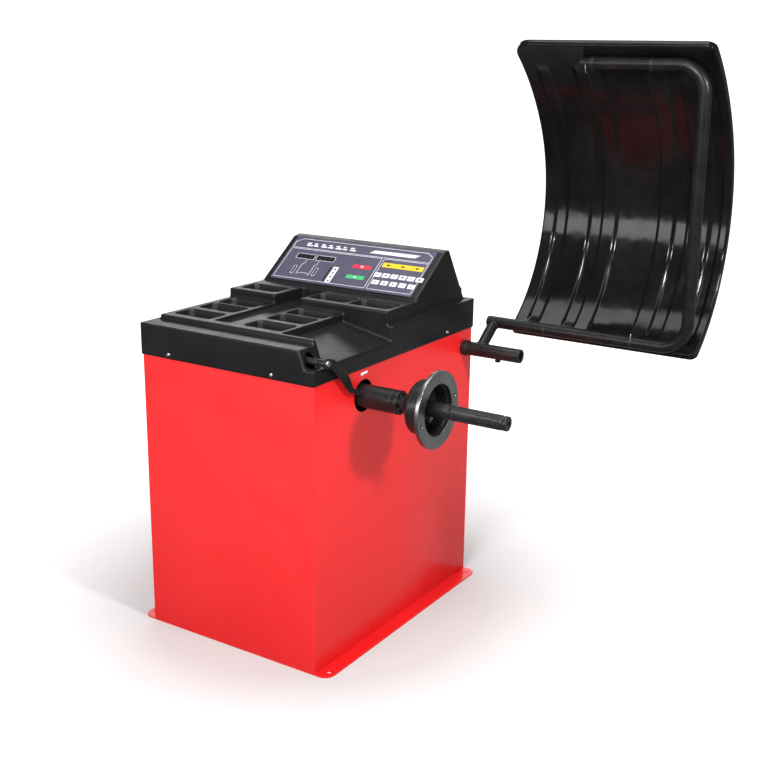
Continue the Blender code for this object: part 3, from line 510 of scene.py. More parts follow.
def sweep(path, radius, sides=28, shape=None, closed=False, caps=False):
    """A round tube's skin along a path; radius is a number or one number a point."""
    shape = shape or bmesh.new()
    path = [Vector(point) for point in path]
    count = len(path)
    radii = radius if isinstance(radius, (list, tuple)) else [radius] * count
    side, loops = None, []
    for i, point in enumerate(path):
        before = path[i - 1] if closed or i else path[0]
        after = path[(i + 1) % count] if closed or i < count - 1 else path[-1]
        along = (after - before).normalized()
        if side is None:
            side = along.orthogonal().normalized()
        side = (side - along * side.dot(along)).normalized()
        other = along.cross(side)
        loop = []
        for k in range(sides):
            angle = 2 * math.pi * k / sides
            offset = side * math.cos(angle) + other * math.sin(angle)
            loop.append(shape.verts.new(point + offset * radii[i]))
        loops.append(loop)
    pairs = list(zip(loops, loops[1:]))
    if closed:
        pairs.append((loops[-1], loops[0]))
    for first, second in pairs:
        bridge(shape, first, second)
    if caps:
        shape.faces.new(loops[0])
        shape.faces.new(loops[-1][::-1])
    return shape, loops


def slab(shape, outline, low, high):
    """Adds a closed outline of (a, b) points, extruded from low to high along Z."""
    lower = [shape.verts.new((a, b, low)) for a, b in outline]
    upper = [shape.verts.new((a, b, high)) for a, b in outline]
    shape.faces.new(lower[::-1])
    shape.faces.new(upper)
    count = len(outline)
    for i in range(count):
        j = (i + 1) % count
        shape.faces.new((lower[i], lower[j], upper[j], upper[i]))
    return shape


def stroke(shape, points, width, low, high, closed=True):
    """Adds a printed line of even width, mitred at its corners."""
    points = [Vector(p) for p in points]
    count = len(points)
    sides = ([], [])
    for i, point in enumerate(points):
        before = point - points[i - 1] if closed or i else points[1] - point
        after = points[(i + 1) % count] - point if closed or i < count - 1 else before
        first = Vector((-before.y, before.x)).normalized()
        second = Vector((-after.y, after.x)).normalized()
        mitre = (first + second).normalized()
        reach = width / 2 / max(mitre.dot(first), 0.35)
        sides[0].append(point + mitre * reach)
        sides[1].append(point - mitre * reach)
    rings = []
    for side, z in ((0, low), (0, high), (1, high), (1, low)):
        rings.append([shape.verts.new((p.x, p.y, z)) for p in sides[side]])
    last = count if closed else count - 1
    for a, b in zip(rings, rings[1:] + rings[:1]):
        for i in range(last):
            j = (i + 1) % count
            shape.faces.new((a[i], a[j], b[j], b[i]))
    if not closed:
        shape.faces.new([ring[0] for ring in rings])
        shape.faces.new([ring[-1] for ring in rings][::-1])
    return shape


def cad_copy(node):
    """A CAD node's mesh with its facets welded and its flat faces whole again."""
    shape = bmesh.new()
    shape.from_mesh(NODES[node].data)
    bmesh.ops.remove_doubles(shape, verts=shape.verts, dist=2e-6)
    bmesh.ops.dissolve_limit(
        shape, angle_limit=math.radians(1.0), verts=shape.verts, edges=shape.edges
    )
    return shape


def body_of(node):
    return NODES[node]["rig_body"]


def eased(node, finish, width, segments=3, name=None, angle=32):
    """The CAD node's own shape with its edges rounded, in place of the sharp one."""
    made = piece(
        name or node + "_eased", cad_copy(node), finish, body_of(node), (node,), angle=50
    )
    bevel = made.modifiers.new("edges", "BEVEL")
    bevel.width = width
    bevel.segments = segments
    bevel.limit_method = "ANGLE"
    bevel.angle_limit = math.radians(angle)
    bevel.harden_normals = True
    bevel.use_clamp_overlap = True
    return made


def paint(node, finish):
    slots = NODES[node].data.materials
    slots.clear()
    slots.append(LOOKS[finish])


def cut_with(made, tool_shape):
    """Cuts a bmesh out of a piece for good."""
    mesh = bpy.data.meshes.new("tool")
    bmesh.ops.recalc_face_normals(tool_shape, faces=tool_shape.faces)
    tool_shape.to_mesh(mesh)
    tool_shape.free()
    tool = bpy.data.objects.new("tool", mesh)
    bpy.context.scene.collection.objects.link(tool)
    step = made.modifiers.new("cut", "BOOLEAN")
    step.operation = "DIFFERENCE"
    step.solver = "EXACT"
    step.object = tool
    apply_modifiers(made)
    bpy.data.objects.remove(tool)


def apply_modifiers(made):
    bpy.context.view_layer.update()
    graph = bpy.context.evaluated_depsgraph_get()
    result = bpy.data.meshes.new_from_object(made.evaluated_get(graph))
    made.modifiers.clear()
    made.data = result


# ---------------------------------------------------------------- cabinet

def build_cabinet():
    for node in ("cabinet_front", "cabinet_rear"):
        shape = cad_copy(node)
        low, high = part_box(node)
        corners = []
        for edge in shape.edges:
            a, b = (vert.co for vert in edge.verts)
            upright = abs(a.z - b.z) > 0.5 and (a.xy - b.xy).length < 1e-5
            outer = abs(abs(a.x) - high.x) < 1e-4
            end = abs(a.y - low.y) < 1e-4 or abs(a.y - high.y) < 1e-4
            if upright and outer and end:
                corners.append(edge)
        bends = [e for e in corners if abs(abs(e.verts[0].co.y) - 0.375) < 1e-3]
        bmesh.ops.bevel(
            shape, geom=bends, offset=0.0035, offset_type="OFFSET", segments=6, profile=0.5,
            affect="EDGES", clamp_overlap=True,
        )
        made = piece(node + "_panel", shape, "red_paint", body_of(node), (node,))
        edges = made.modifiers.new("edges", "BEVEL")
        edges.width = 0.0006
        edges.segments = 2
        edges.limit_method = "ANGLE"
        edges.angle_limit = math.radians(50)
        edges.harden_normals = True
    eased("base_plate", "red_paint", 0.0011, 3)
    build_louvres()
    build_arrow_label()


LOUVRE_ROWS = 6
LOUVRE_HALF_X = 0.062
LOUVRE_FOOT_Z = 0.2475                            # the lowest hood's lower edge
LOUVRE_PITCH = 0.022


def build_louvres():
    """Pressed hoods over the slots in the rear wall."""
    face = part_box("cabinet_rear")[1].y
    shape = bmesh.new()
    for row in range(LOUVRE_ROWS):
        z = LOUVRE_FOOT_Z + LOUVRE_PITCH * row
        section = arc((0.0, 0.0), 0.0075, 0, 90, 8) + arc((0.0, 0.0), 0.0065, 90, 0, 8)
        rings = []
        for i in range(13):
            t = i / 12
            x = -LOUVRE_HALF_X + 2 * LOUVRE_HALF_X * t
            swell = min(1.0, math.sin(math.pi * t) * 2.2 + 0.12)
            rings.append([
                shape.verts.new((x, face - 0.0004 + b * swell, z - a))
                for a, b in section
            ])
        for first, second in zip(rings, rings[1:]):
            bridge(shape, first, second)
        shape.faces.new(rings[0])
        shape.faces.new(rings[-1][::-1])
    piece("rear_louvres", shape, "red_paint", "machine")


def build_arrow_label():
    """A small white arrow that shows which way the wheel turns."""
    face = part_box("cabinet_front")[1].x
    outline = [
        (-0.024, 0.000), (-0.012, 0.010), (-0.012, 0.0045), (0.022, 0.0045), (0.024, 0.0065),
        (0.024, -0.0065), (0.022, -0.0045), (-0.012, -0.0045), (-0.012, -0.010),
    ]
    shape = slab(bmesh.new(), [(a * 0.62, b * 0.62) for a, b in outline], 0.0, 0.00025)
    turn = Matrix(((0, 0, 1, 0), (1, 0, 0, 0), (0, 1, 0, 0), (0, 0, 0, 1)))
    lean = Matrix.Rotation(math.radians(4), 4, "X")
    place = Matrix.Translation((face + 0.00005, -0.168, 0.7235)) @ lean @ turn
    bmesh.ops.transform(shape, matrix=place, verts=shape.verts)
    piece("arrow_label", shape, "print_white", "machine")


# ---------------------------------------------------------------- moulded cover

COVER_VOXEL = 0.0023
COVER_SMOOTHING = 6


def build_cover():
    """The moulded cover with the soft radii of a formed shell."""
    shape = cad_copy("top_cover")
    made = piece(
        "tray_cover", shape, "black_plastic", "machine", ("top_cover",)
    )
    skin = made.modifiers.new("skin", "REMESH")
    skin.mode = "VOXEL"
    skin.voxel_size = COVER_VOXEL * 1
    soft = made.modifiers.new("soft", "SMOOTH")
    soft.factor = 0.5
    soft.iterations = COVER_SMOOTHING
    apply_modifiers(made)
    made.data.shade_smooth()


def screw_head(radius, height, recess=0.45):
    """A pan head about +X with a cross recess pressed into it."""
    profile = [(0.0, 0.0), (0.0, radius * 0.96), (height * 0.25, radius)]
    for i in range(1, 9):
        angle = math.radians(90 * i / 8)
        profile.append((
            height * (0.25 + 0.75 * math.sin(angle)), radius * max(math.cos(angle), 0.0) ** 0.75
        ))
    shape = turned(profile, 40)
    for vert in shape.verts:
        across = min(abs(vert.co.y), abs(vert.co.z))
        out = max(abs(vert.co.y), abs(vert.co.z))
        if vert.co.x > height * 0.5 and across < radius * 0.16 and out < radius * recess:
            vert.co.x -= height * 0.45
    return shape


def build_cover_screws():
    for node, direction in (
        ("cover_screw_front_left", (0, -1, 0)),
        ("cover_screw_front_right", (0, -1, 0)),
        ("cover_screw_side", (1, 0, 0)),
    ):
        low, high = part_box(node)
        centre = (low + high) / 2
        way = Vector(direction)
        radius = (high.z - low.z) / 2
        reach = max(abs(way.dot(high)), abs(way.dot(low))) if way.x else abs(low.y)
        seat = Vector((
            reach - 0.0025 if way.x else centre.x,
            centre.y if way.x else -(reach - 0.0025),
            centre.z,
        ))
        shape = screw_head(radius, 0.0025)
        turn = way.to_track_quat("X", "Z").to_matrix().to_4x4()
        bmesh.ops.transform(shape, matrix=turn, verts=shape.verts)
        piece(node + "_head", shape, "bright_steel", "machine", (node,), seat)


# ---------------------------------------------------------------- display panel

PANEL_UP = Vector((0.0, 0.140, 0.102)).normalized()
PANEL_OUT = Vector((0.0, -PANEL_UP.z, PANEL_UP.y))
PANEL_FOOT = Vector((0.0, 0.096, 0.858))
FILM_TOP = 0.0028
INK = 0.00012
PANEL_FRAME = Matrix.Translation(PANEL_FOOT) @ Matrix((
    (1, 0, 0, 0),
    (0, PANEL_UP.y, PANEL_OUT.y, 0),
    (0, PANEL_UP.z, PANEL_OUT.z, 0),
    (0, 0, 0, 1),
))


def printed(name, shape, finish, body="machine"):
    """Ink on the panel: a thin layer drawn in (x, along the slope, out)."""
    bmesh.ops.transform(shape, matrix=PANEL_FRAME, verts=shape.verts)
    return piece(name, shape, finish, body, angle=20)


def band(low_x, high_x, low_s, high_s, lean=0.0):
    return [(low_x, low_s), (high_x, low_s), (high_x + lean, high_s), (low_x + lean, high_s)]


def build_panel_print():
    low, high = FILM_TOP, FILM_TOP + INK
    lines = bmesh.new()
    border = [(-0.224, 0.128), (0.226, 0.128), (0.226, 0.150), (0.205, 0.163), (-0.203, 0.163),
              (-0.224, 0.150)]
    stroke(lines, border, 0.0011, low, high)
    stroke(lines, rounded_box(-0.224, 0.080, 0.012, 0.124, 0.003), 0.0011, low, high)
    stroke(lines, rounded_box(0.088, 0.226, 0.012, 0.124, 0.003), 0.0011, low, high)
    for x0, x1 in ((-0.189, -0.132), (-0.121, -0.064)):
        stroke(lines, rounded_box(x0 - 0.002, x1 + 0.002, 0.088, 0.107, 0.0015), 0.0008, low, high)
    rim = [(-0.150, 0.086), (-0.150, 0.072), (-0.156, 0.066), (-0.156, 0.030), (-0.146, 0.036),
           (-0.124, 0.036), (-0.114, 0.030), (-0.114, 0.066), (-0.108, 0.072), (-0.108, 0.086)]
    stroke(lines, rim, 0.0010, low, high, closed=False)
    for x in (-0.172, -0.100):
        stroke(lines, rounded_box(x - 0.0045, x + 0.0045, 0.030, 0.060, 0.001), 0.0008, low, high)
    printed("panel_lines", lines, "print_white")

    bars = bmesh.new()
    for i, width in enumerate((0.020, 0.014, 0.020, 0.017, 0.020, 0.014, 0.019)):
        x = -0.182 + 0.0245 * i
        slab(bars, band(x, x + width, 0.138, 0.1425), low, high)
        slab(bars, band(x, x + width * 0.62, 0.1455, 0.150), low, high)
    slab(bars, band(-0.050, -0.033, 0.014, 0.072), low, high)
    printed("panel_bars", bars, "print_white")

    silver = slab(bmesh.new(), band(0.031, 0.176, 0.139, 0.151, 0.012), low, high)
    printed("panel_silver_bar", silver, "print_silver")

    yellow = slab(bmesh.new(), rounded_box(0.093, 0.221, 0.094, 0.111, 0.002), low, high)
    printed("panel_yellow_band", yellow, "print_yellow")

    dark = bmesh.new()
    for x in (-0.172, -0.100):
        slab(dark, rounded_box(x - 0.002, x + 0.002, 0.033, 0.057, 0.001), low, high)
    slab(dark, rounded_box(-0.0605, -0.0545, 0.015, 0.070, 0.001), low, high)
    for i in range(4):
        s = 0.0205 + 0.0145 * i
        outline = arc((-0.0415, s), 0.0034, 0, 360, 18)[:-1]
        slab(dark, outline, low + INK, high + INK)
    for i in range(3):
        x = 0.112 + 0.045 * i
        slab(dark, rounded_box(x - 0.005, x + 0.001, 0.0995, 0.1055, 0.001), low + INK, high + INK)
        slab(dark, [(x + 0.002, 0.0995), (x + 0.0065, 0.1025), (x + 0.002, 0.1055)],
             low + INK, high + INK)
    printed("panel_marks", dark, "print_black")

    build_digits()


def rounded_box(low_x, high_x, low_s, high_s, radius):
    half_x, half_s = (high_x - low_x) / 2, (high_s - low_s) / 2
    outline = rounded_rectangle(half_x, half_s, radius, 4)
    return shifted(outline, (low_x + high_x) / 2, (low_s + high_s) / 2)


def build_digits():
    """Three unlit seven-segment digits behind each window."""
    shape = bmesh.new()
    top = FILM_TOP - 0.0003
    length, thick, tall = 0.0052, 0.0012, 0.0047
    for node in ("display_window_left", "display_window_right"):
        centre_x = middle(node).x
        for i in (-1, 0, 1):
            x = centre_x + 0.0155 * i
            for row in (-1, 0, 1):
                s = 0.0975 + row * (tall + 0.0003)
                slab(shape, band(x - length / 2, x + length / 2, s - thick / 2, s + thick / 2),
                     top, top + 0.00008)
            for side in (-1, 1):
                for row in (-1, 1):
                    column = x + side * (length / 2 + 0.0009)
                    s = 0.0975 + row * tall / 2
                    slab(shape, band(column - thick / 2, column + thick / 2, s - 0.0017, s + 0.0017),
                         top, top + 0.00008)
    printed("display_digits", shape, "digit")


def key_icon(shape, x, s, kind, top):
    """A plain mark on a key: a dot, a ring, arrows or bars."""
    high = top + INK
    if kind == 0:
        slab(shape, arc((x, s), 0.0034, 0, 360, 24)[:-1], top, high)
    elif kind == 1:
        stroke(shape, arc((x, s), 0.0030, 0, 360, 24)[:-1], 0.0016, top, high)
    elif kind == 2:
        slab(shape, [(x - 0.0040, s - 0.0026), (x + 0.0040, s - 0.0026), (x, s + 0.0040)], top, high)
    elif kind == 3:
        slab(shape, [(x - 0.0040, s + 0.0026), (x, s - 0.0040), (x + 0.0040, s + 0.0026)], top, high)
    else:
        for step in (-1, 0, 1):
            slab(shape, band(x - 0.0045, x + 0.0045, s + step * 0.003 - 0.0007,
                             s + step * 0.003 + 0.0007), top, high)


def build_keys():
    places = [(f"key_upper_{i + 1}", 0.0965 + 0.0262 * i, 0.065, (1, 0)[i % 2]) for i in range(6)]
    places += [(f"key_lower_{i + 1}", 0.1030 + 0.0282 * i, 0.038, (4, 2, 3, 4, 1)[i])
               for i in range(5)]
    places += [("key_stop", 0.036, 0.084, 4), ("key_start", 0.034, 0.045, 2)]
    finishes = {"key_stop": "key_red", "key_start": "key_green"}
    for node, x, s, kind in places:
        finish = finishes.get(node, "key_white")
        eased(node, finish, 0.0007, 3, node + "_cap")
        shape = bmesh.new()
        key_icon(shape, x, s, kind, FILM_TOP + 0.0008)
        mark = "print_white" if node in finishes else "print_black"
        printed(node + "_icon", shape, mark, body_of(node))


def build_display():
    eased("display_overlay", "panel_grey", 0.0005, 2, "panel_film", 60)
    for node in ("display_window_left", "display_window_right"):
        paint(node, "smoked_window")
    paint("display_board", "board_green")
    build_panel_print()
    build_keys()


# ---------------------------------------------------------------- spindle

SPINDLE = (0.0, middle("threaded_shaft").y, middle("threaded_shaft").z)
THREAD_PITCH = 0.003
THREAD_DEPTH = 0.0011
RING_HOLE_DEGREES = (15, 195)
RING_HOLE_CIRCLE = 0.079                          # radius that the ring's two holes lie on


def spindle_piece(name, profile, finish, replaces, closed=False, sides=96, radius=0.0012):
    body = body_of(replaces[0])
    rounded = soften(profile, radius, 4, closed)
    return piece(name, turned(rounded, sides, closed), finish, body, replaces, SPINDLE)


def build_flange():
    low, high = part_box("flange_ring")
    outer = (high.z - low.z) / 2
    ring = spindle_piece(
        "flange_ring_turned",
        [(low.x, outer), (high.x, outer), (high.x, 0.063), (low.x, 0.063)],
        "ring", ("flange_ring",), True, 128, 0.0011,
    )
    for degrees in RING_HOLE_DEGREES:
        y = RING_HOLE_CIRCLE * math.cos(math.radians(degrees))
        z = RING_HOLE_CIRCLE * math.sin(math.radians(degrees))
        hole = turned([(low.x - 0.01, 0.0), (low.x - 0.01, 0.004), (high.x - 0.0009, 0.004),
                       (high.x + 0.001, 0.0059), (high.x + 0.001, 0.0)], 32)
        bmesh.ops.translate(hole, vec=(0.0, y, z), verts=hole.verts)
        bmesh.ops.translate(hole, vec=Vector(SPINDLE), verts=hole.verts)
        cut_with(ring, hole)
    ring.data.shade_smooth()
    ring.data.set_sharp_from_angle(angle=math.radians(38))
    bell_low, bell_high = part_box("flange_bell")
    spindle_piece(
        "flange_bell_turned",
        [(bell_low.x, 0.0190), (0.390, 0.0190), (0.395, 0.0255), (0.419, 0.061), (0.4245, 0.066),
         (bell_high.x, 0.066), (bell_high.x, 0.059), (0.434, 0.059), (0.4315, 0.054),
         (0.4315, 0.0153), (bell_low.x, 0.0153)],
        "spindle", ("flange_bell",), True, 112, 0.0026,
    )


def build_threaded_shaft():
    """The hub, the helical thread, the run-out groove and the socket in the shaft's end."""
    low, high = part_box("threaded_shaft")
    crest, hub = 0.018, 0.020
    root = crest - THREAD_DEPTH
    start, end = 0.5145, 0.6452
    sides = 72
    shape = bmesh.new()

    def ring(x, radius_at):
        loop = []
        for k in range(sides):
            angle = 2 * math.pi * k / sides
            r = radius_at(angle)
            loop.append(shape.verts.new((x, r * math.cos(angle), r * math.sin(angle))))
        return loop

    def thread_radius(x, angle):
        phase = (x / THREAD_PITCH - angle / (2 * math.pi)) % 1.0
        flank = min(max((0.5 - abs(phase - 0.5)) * 5.0 - 0.55, 0.0), 1.0)
        fade = min((x - start) / 0.003, (end - x) / 0.003, 1.0)
        return root + THREAD_DEPTH * flank * max(fade, 0.0)

    hub_profile = soften(
        [(low.x, 0.004), (low.x, hub), (0.5050, hub), (0.5050, root), (start, root)], 0.0014
    )
    tip_profile = soften(
        [(end, root), (0.6495, root), (0.6499, crest - 0.0004), (high.x - 0.0005, crest - 0.0006),
         (high.x, crest - 0.003), (high.x, 0.0055), (high.x - 0.012, 0.0055),
         (high.x - 0.015, 0.0004)], 0.0007
    )
    loops = [ring(x, lambda angle, r=r: r) for x, r in hub_profile]
    steps = round((end - start) / (THREAD_PITCH / 9))
    for i in range(1, steps):
        x = start + (end - start) * i / steps
        loops.append(ring(x, lambda angle, x=x: thread_radius(x, angle)))
    loops += [ring(x, lambda angle, r=r: r) for x, r in tip_profile]
    for first, second in zip(loops, loops[1:]):
        bridge(shape, first, second)
    shape.faces.new(loops[0][::-1])
    shape.faces.new(loops[-1])
    piece("spindle_thread", shape, "spindle", "spindle", ("threaded_shaft",),
          SPINDLE, 50)


def build_spindle():
    low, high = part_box("shaft_housing")
    outer = (high.z - low.z) / 2
    spindle_piece(
        "shaft_housing_turned",
        [(low.x, outer), (0.3560, outer), (0.3566, outer - 0.0007), (0.3590, outer - 0.0007),
         (0.3596, outer), (high.x, outer), (high.x, 0.021), (high.x - 0.006, 0.021),
         (high.x - 0.006, 0.0263), (low.x, 0.0263)],
        "black_steel", ("shaft_housing",), True, 96, 0.0016,
    )
    build_flange()
    build_threaded_shaft()
    paint("main_shaft", "bright_steel")
    paint("spindle_pulley", "black_steel")
    paint("encoder_disc", "bright_steel")
    for node in ("bearing_inner", "bearing_outer", "force_sensor_inner", "force_sensor_outer"):
        paint(node, "bright_steel")


# ---------------------------------------------------------------- drive and electrics

def build_inside():
    for node in ("spindle_bracket", "support_beam", "motor_bracket", "guard_bracket"):
        eased(node, "black_steel", 0.0008, 2)
    eased("motor_body", "black_steel", 0.0012, 2)
    paint("motor_pulley", "bright_steel")
    paint("drive_belt", "belt_rubber")
    paint("main_board", "board_green")
    for node in ("encoder_sensor", "guard_switch"):
        eased(node, "black_plastic", 0.0006, 2)
    eased("switch_frame", "black_plastic", 0.0006, 3)
    eased("switch_rocker", "key_red", 0.0008, 3)
    low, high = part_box("cord_inlet")
    centre = (low + high) / 2
    inlet = soften(
        [(low.y, 0.0092), (0.3753, 0.0092), (0.3753, 0.0140), (0.3812, 0.0140), (high.y, 0.0080),
         (high.y, 0.0040), (low.y, 0.0040)], 0.0008, 3, True
    )
    shape = turned(inlet, 48, True)
    bmesh.ops.rotate(
        shape, cent=(0, 0, 0), matrix=Matrix.Rotation(math.radians(90), 3, "Z"), verts=shape.verts
    )
    piece("cord_inlet_bush", shape, "black_plastic", "machine", ("cord_inlet",),
          (centre.x, 0.0, centre.z))


# ---------------------------------------------------------------- distance gauge

GAUGE = (0.0, middle("gauge_rod").y, middle("gauge_rod").z)


def gauge_piece(name, profile, finish, node, closed=False, radius=0.0008):
    shape = turned(soften(profile, radius, 4, closed), 64, closed)
    return piece(name, shape, finish, body_of(node), (node,), GAUGE)


def build_gauge():
    low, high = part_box("gauge_rod")
    radius = (high.z - low.z) / 2
    gauge_piece(
        "gauge_rod_turned",
        [(low.x, 0.0), (low.x, radius), (0.258, radius), (0.2585, radius - 0.0006),
         (0.2605, radius - 0.0006), (0.261, radius), (high.x, radius), (high.x, 0.0)],
        "spindle", "gauge_rod",
    )
    low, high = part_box("gauge_bush")
    outer = (high.z - low.z) / 2
    gauge_piece(
        "gauge_bush_turned",
        [(low.x, outer), (high.x, outer), (high.x, radius + 0.0004), (low.x, radius + 0.0004)],
        "black_plastic", "gauge_bush", True, 0.0016,
    )
    eased("gauge_arm", "black_steel", 0.0009, 3)
    low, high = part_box("gauge_screw")
    gauge_piece(
        "gauge_screw_turned",
        [(low.x, 0.0), (low.x, 0.0042), (0.2843, 0.0042), (0.2843, 0.0075),
         (high.x, 0.0068), (high.x, 0.0030), (high.x - 0.003, 0.0030), (high.x - 0.003, 0.0)],
        "bright_steel", "gauge_screw", False, 0.0006,
    )
    paint("gauge_carriage", "white_plastic")


# ---------------------------------------------------------------- guard

PIVOT = Vector((0.0, middle("guard_tube").y, middle("guard_tube").z))
GUARD_X = (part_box("guard_shell")[0].x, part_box("guard_shell")[1].x)
ARC_CENTRE = Vector((0.200, 1.081))
ARC_RADIUS = 0.411
ARC_LOW = math.radians(-57.4)
ARC_TURN = math.radians(30.0)
UPPER_RADIUS = 0.626
UPPER_SWEEP = math.radians(26.2)
LOWER_RUN = ARC_RADIUS * (ARC_TURN - ARC_LOW)
GUARD_LENGTH = LOWER_RUN + UPPER_RADIUS * UPPER_SWEEP
RIM = 0.016
FILLET = 0.0045
SKIN = 0.003
RIB_DEPTH = 0.0055
RIBS = ((0.070, 0.135), (0.268, 0.335), (0.415, 0.640), (0.722, 0.790), (0.905, 0.955))
EMBOSS_X = (0.568, 0.700)
EMBOSS_AT = 0.052
TUBE_RADIUS = 0.016
TUBE_BORE = 0.014
TUBE_SIDES = 36
CORNERS = {"low_left": 0.014, "low_right": 0.014, "top_left": 0.044, "top_right": 0.018}


def guard_point(x, along, depth):
    """A point on the guard: along runs up its section, depth stands back from its face."""
    if along <= LOWER_RUN:
        angle = ARC_LOW + along / ARC_RADIUS
        centre, radius = ARC_CENTRE, ARC_RADIUS + depth
    else:
        angle = ARC_TURN + (along - LOWER_RUN) / UPPER_RADIUS
        turn = Vector((math.cos(ARC_TURN), math.sin(ARC_TURN)))
        centre = ARC_CENTRE + turn * (ARC_RADIUS - UPPER_RADIUS)
        radius = UPPER_RADIUS + depth
    y = centre.x + radius * math.cos(angle)
    z = centre.y + radius * math.sin(angle)
    return Vector((x, y, z))


def ease(value):
    value = min(max(value, 0.0), 1.0)
    return value * value * (3 - 2 * value)


def rib_depth(x, along):
    share = (x - GUARD_X[0]) / (GUARD_X[1] - GUARD_X[0])
    depth = 0.0
    for start, end in RIBS:
        soft = 0.011
        depth = max(depth, ease((share - start) / soft + 0.5) * ease((end - share) / soft + 0.5))
    ends = ease((along - 0.030) / 0.040) * ease((GUARD_LENGTH - 0.075 - along) / 0.040)
    depth *= RIB_DEPTH * ends
    across = max(EMBOSS_X[0] - x, x - EMBOSS_X[1], 0.0)
    up = abs(along - (GUARD_LENGTH - EMBOSS_AT))
    depth -= 0.0030 * ease((0.0075 - math.hypot(across, up)) / 0.0045)
    return depth


def corner_inset(along, low_radius, top_radius, edge):
    """How far a side edge draws in beside its rounded corners."""
    for distance, radius in ((along - edge, low_radius), (GUARD_LENGTH - edge - along, top_radius)):
        if distance < radius:
            return radius - math.sqrt(max(radius ** 2 - (radius - distance) ** 2, 0.0))
    return 0.0


def guard_rows(count):
    """Places up the section, closer together near both ends."""
    low, high = FILLET, GUARD_LENGTH - FILLET
    near = [0.0, 0.0004, 0.0012, 0.0025, 0.0045, 0.007, 0.010, 0.014, 0.019, 0.025, 0.032, 0.040]
    rows = [low + step for step in near]
    for i in range(1, count):
        rows.append(low + 0.040 + (high - low - 0.080) * i / count)
    rows += [high - step for step in reversed(near)]
    return rows


def build_guard_shell():
    columns = 190
    rows = guard_rows(150)
    shape = bmesh.new()
    grid, flat = [], {}
    for along in rows:
        inset_left = corner_inset(along, CORNERS["low_left"], CORNERS["top_left"], FILLET)
        inset_right = corner_inset(along, CORNERS["low_right"], CORNERS["top_right"], FILLET)
        left = GUARD_X[0] + FILLET + inset_left
        right = GUARD_X[1] - FILLET - inset_right
        row = []
        for k in range(columns + 1):
            x = left + (right - left) * k / columns
            vert = shape.verts.new(guard_point(x, along, rib_depth(x, along)))
            flat[vert] = Vector((x, along))
            row.append(vert)
        grid.append(row)
    for low, high in zip(grid, grid[1:]):
        for k in range(columns):
            shape.faces.new((low[k], low[k + 1], high[k + 1], high[k]))
    edge = grid[0] + [row[-1] for row in grid[1:]] + grid[-1][-2::-1]
    edge += [row[0] for row in grid[-2:0:-1]]
    count = len(edge)
    outward = []
    for i, vert in enumerate(edge):
        run = flat[edge[(i + 1) % count]] - flat[edge[i - 1]]
        outward.append(Vector((run.y, -run.x)).normalized())
    steps = [(math.sin(math.radians(a)), 1 - math.cos(math.radians(a))) for a in (22, 45, 68, 90)]
    steps = [(s * FILLET, d * FILLET) for s, d in steps] + [(FILLET, 0.009), (FILLET, RIM)]
    previous = edge
    for out, depth in steps:
        loop = []
        for i, vert in enumerate(edge):
            place = flat[vert] + outward[i] * out
            loop.append(shape.verts.new(guard_point(place.x, place.y, depth)))
        for i in range(count):
            j = (i + 1) % count
            shape.faces.new((previous[i], loop[i], loop[j], previous[j]))
        previous = loop
    bmesh.ops.translate(shape, vec=-PIVOT, verts=shape.verts)
    made = piece("guard_formed_shell", shape, "gloss_black", "guard",
                 ("guard_shell",), PIVOT, 60)
    skin = made.modifiers.new("skin", "SOLIDIFY")
    skin.thickness = SKIN
    facing = made.data.polygons[len(made.data.polygons) // 3]
    inner = (guard_point(0.6, 0.3, -0.1) - PIVOT - facing.center).dot(facing.normal) > 0
    skin.offset = -1.0 if inner else 1.0
    apply_modifiers(made)
    hole = turned([(-0.02, 0.0), (-0.02, 0.0045), (0.02, 0.0045), (0.02, 0.0)], 24)
    centre = guard_point(GUARD_X[0] + 0.014, 0.020, 0.0)
    way = (guard_point(0.4, 0.020, 0.01) - guard_point(0.4, 0.020, 0.0)).normalized()
    place = Matrix.Translation(centre) @ way.to_track_quat("X", "Z").to_matrix().to_4x4()
    bmesh.ops.transform(hole, matrix=place, verts=hole.verts)
    cut_with(made, hole)
    made.data.shade_smooth()
    made.data.set_sharp_from_angle(angle=math.radians(50))


def frame_path(steps):
    """Centre line of the bent tube, as the CAD has it: lower run, upright and upper run."""
    inset = -(TUBE_RADIUS + 0.0012)
    low = guard_point(0.0, 0.0, inset).yz
    upper_step = UPPER_SWEEP * 5 / 6
    high = guard_point(0.0, LOWER_RUN + UPPER_RADIUS * upper_step, inset).yz
    rise = (high - low).length
    outer_x = GUARD_X[1] - TUBE_RADIUS - 0.006
    bend = 0.070
    flat = [(0.299, 0.0), (0.42, 0.0), (0.60, 0.0)]
    flat += arc((outer_x - bend, bend), bend, -90, 0, steps)
    flat += [(outer_x, rise * 0.35), (outer_x, rise * 0.65)]
    flat += arc((outer_x - bend, rise - bend), bend, 0, 90, steps)
    flat += [(0.68, rise), (0.545, rise)]
    points = []
    for x, up in flat:
        y, z = low + (high - low) * (up / rise)
        points.append(Vector((x, y, z)))
    return points


def weld_bead(shape, foot, way, arm_radius, tube_radius, seed):
    """A rippled bead where a round arm, leaving foot along way, meets a tube along X."""
    across = Vector((1.0, 0.0, 0.0))
    other = way.cross(across).normalized()
    path, radii = [], []
    for i in range(72):
        angle = 2 * math.pi * i / 72
        side = arm_radius * math.sin(angle)
        reach = math.sqrt(tube_radius ** 2 - min(side, tube_radius * 0.97) ** 2)
        path.append(foot + across * (arm_radius * math.cos(angle)) + other * side + way * reach)
        radii.append(0.0021 + 0.0004 * math.sin(angle * 18 + seed))
    sweep(path, radii, 10, shape, closed=True)


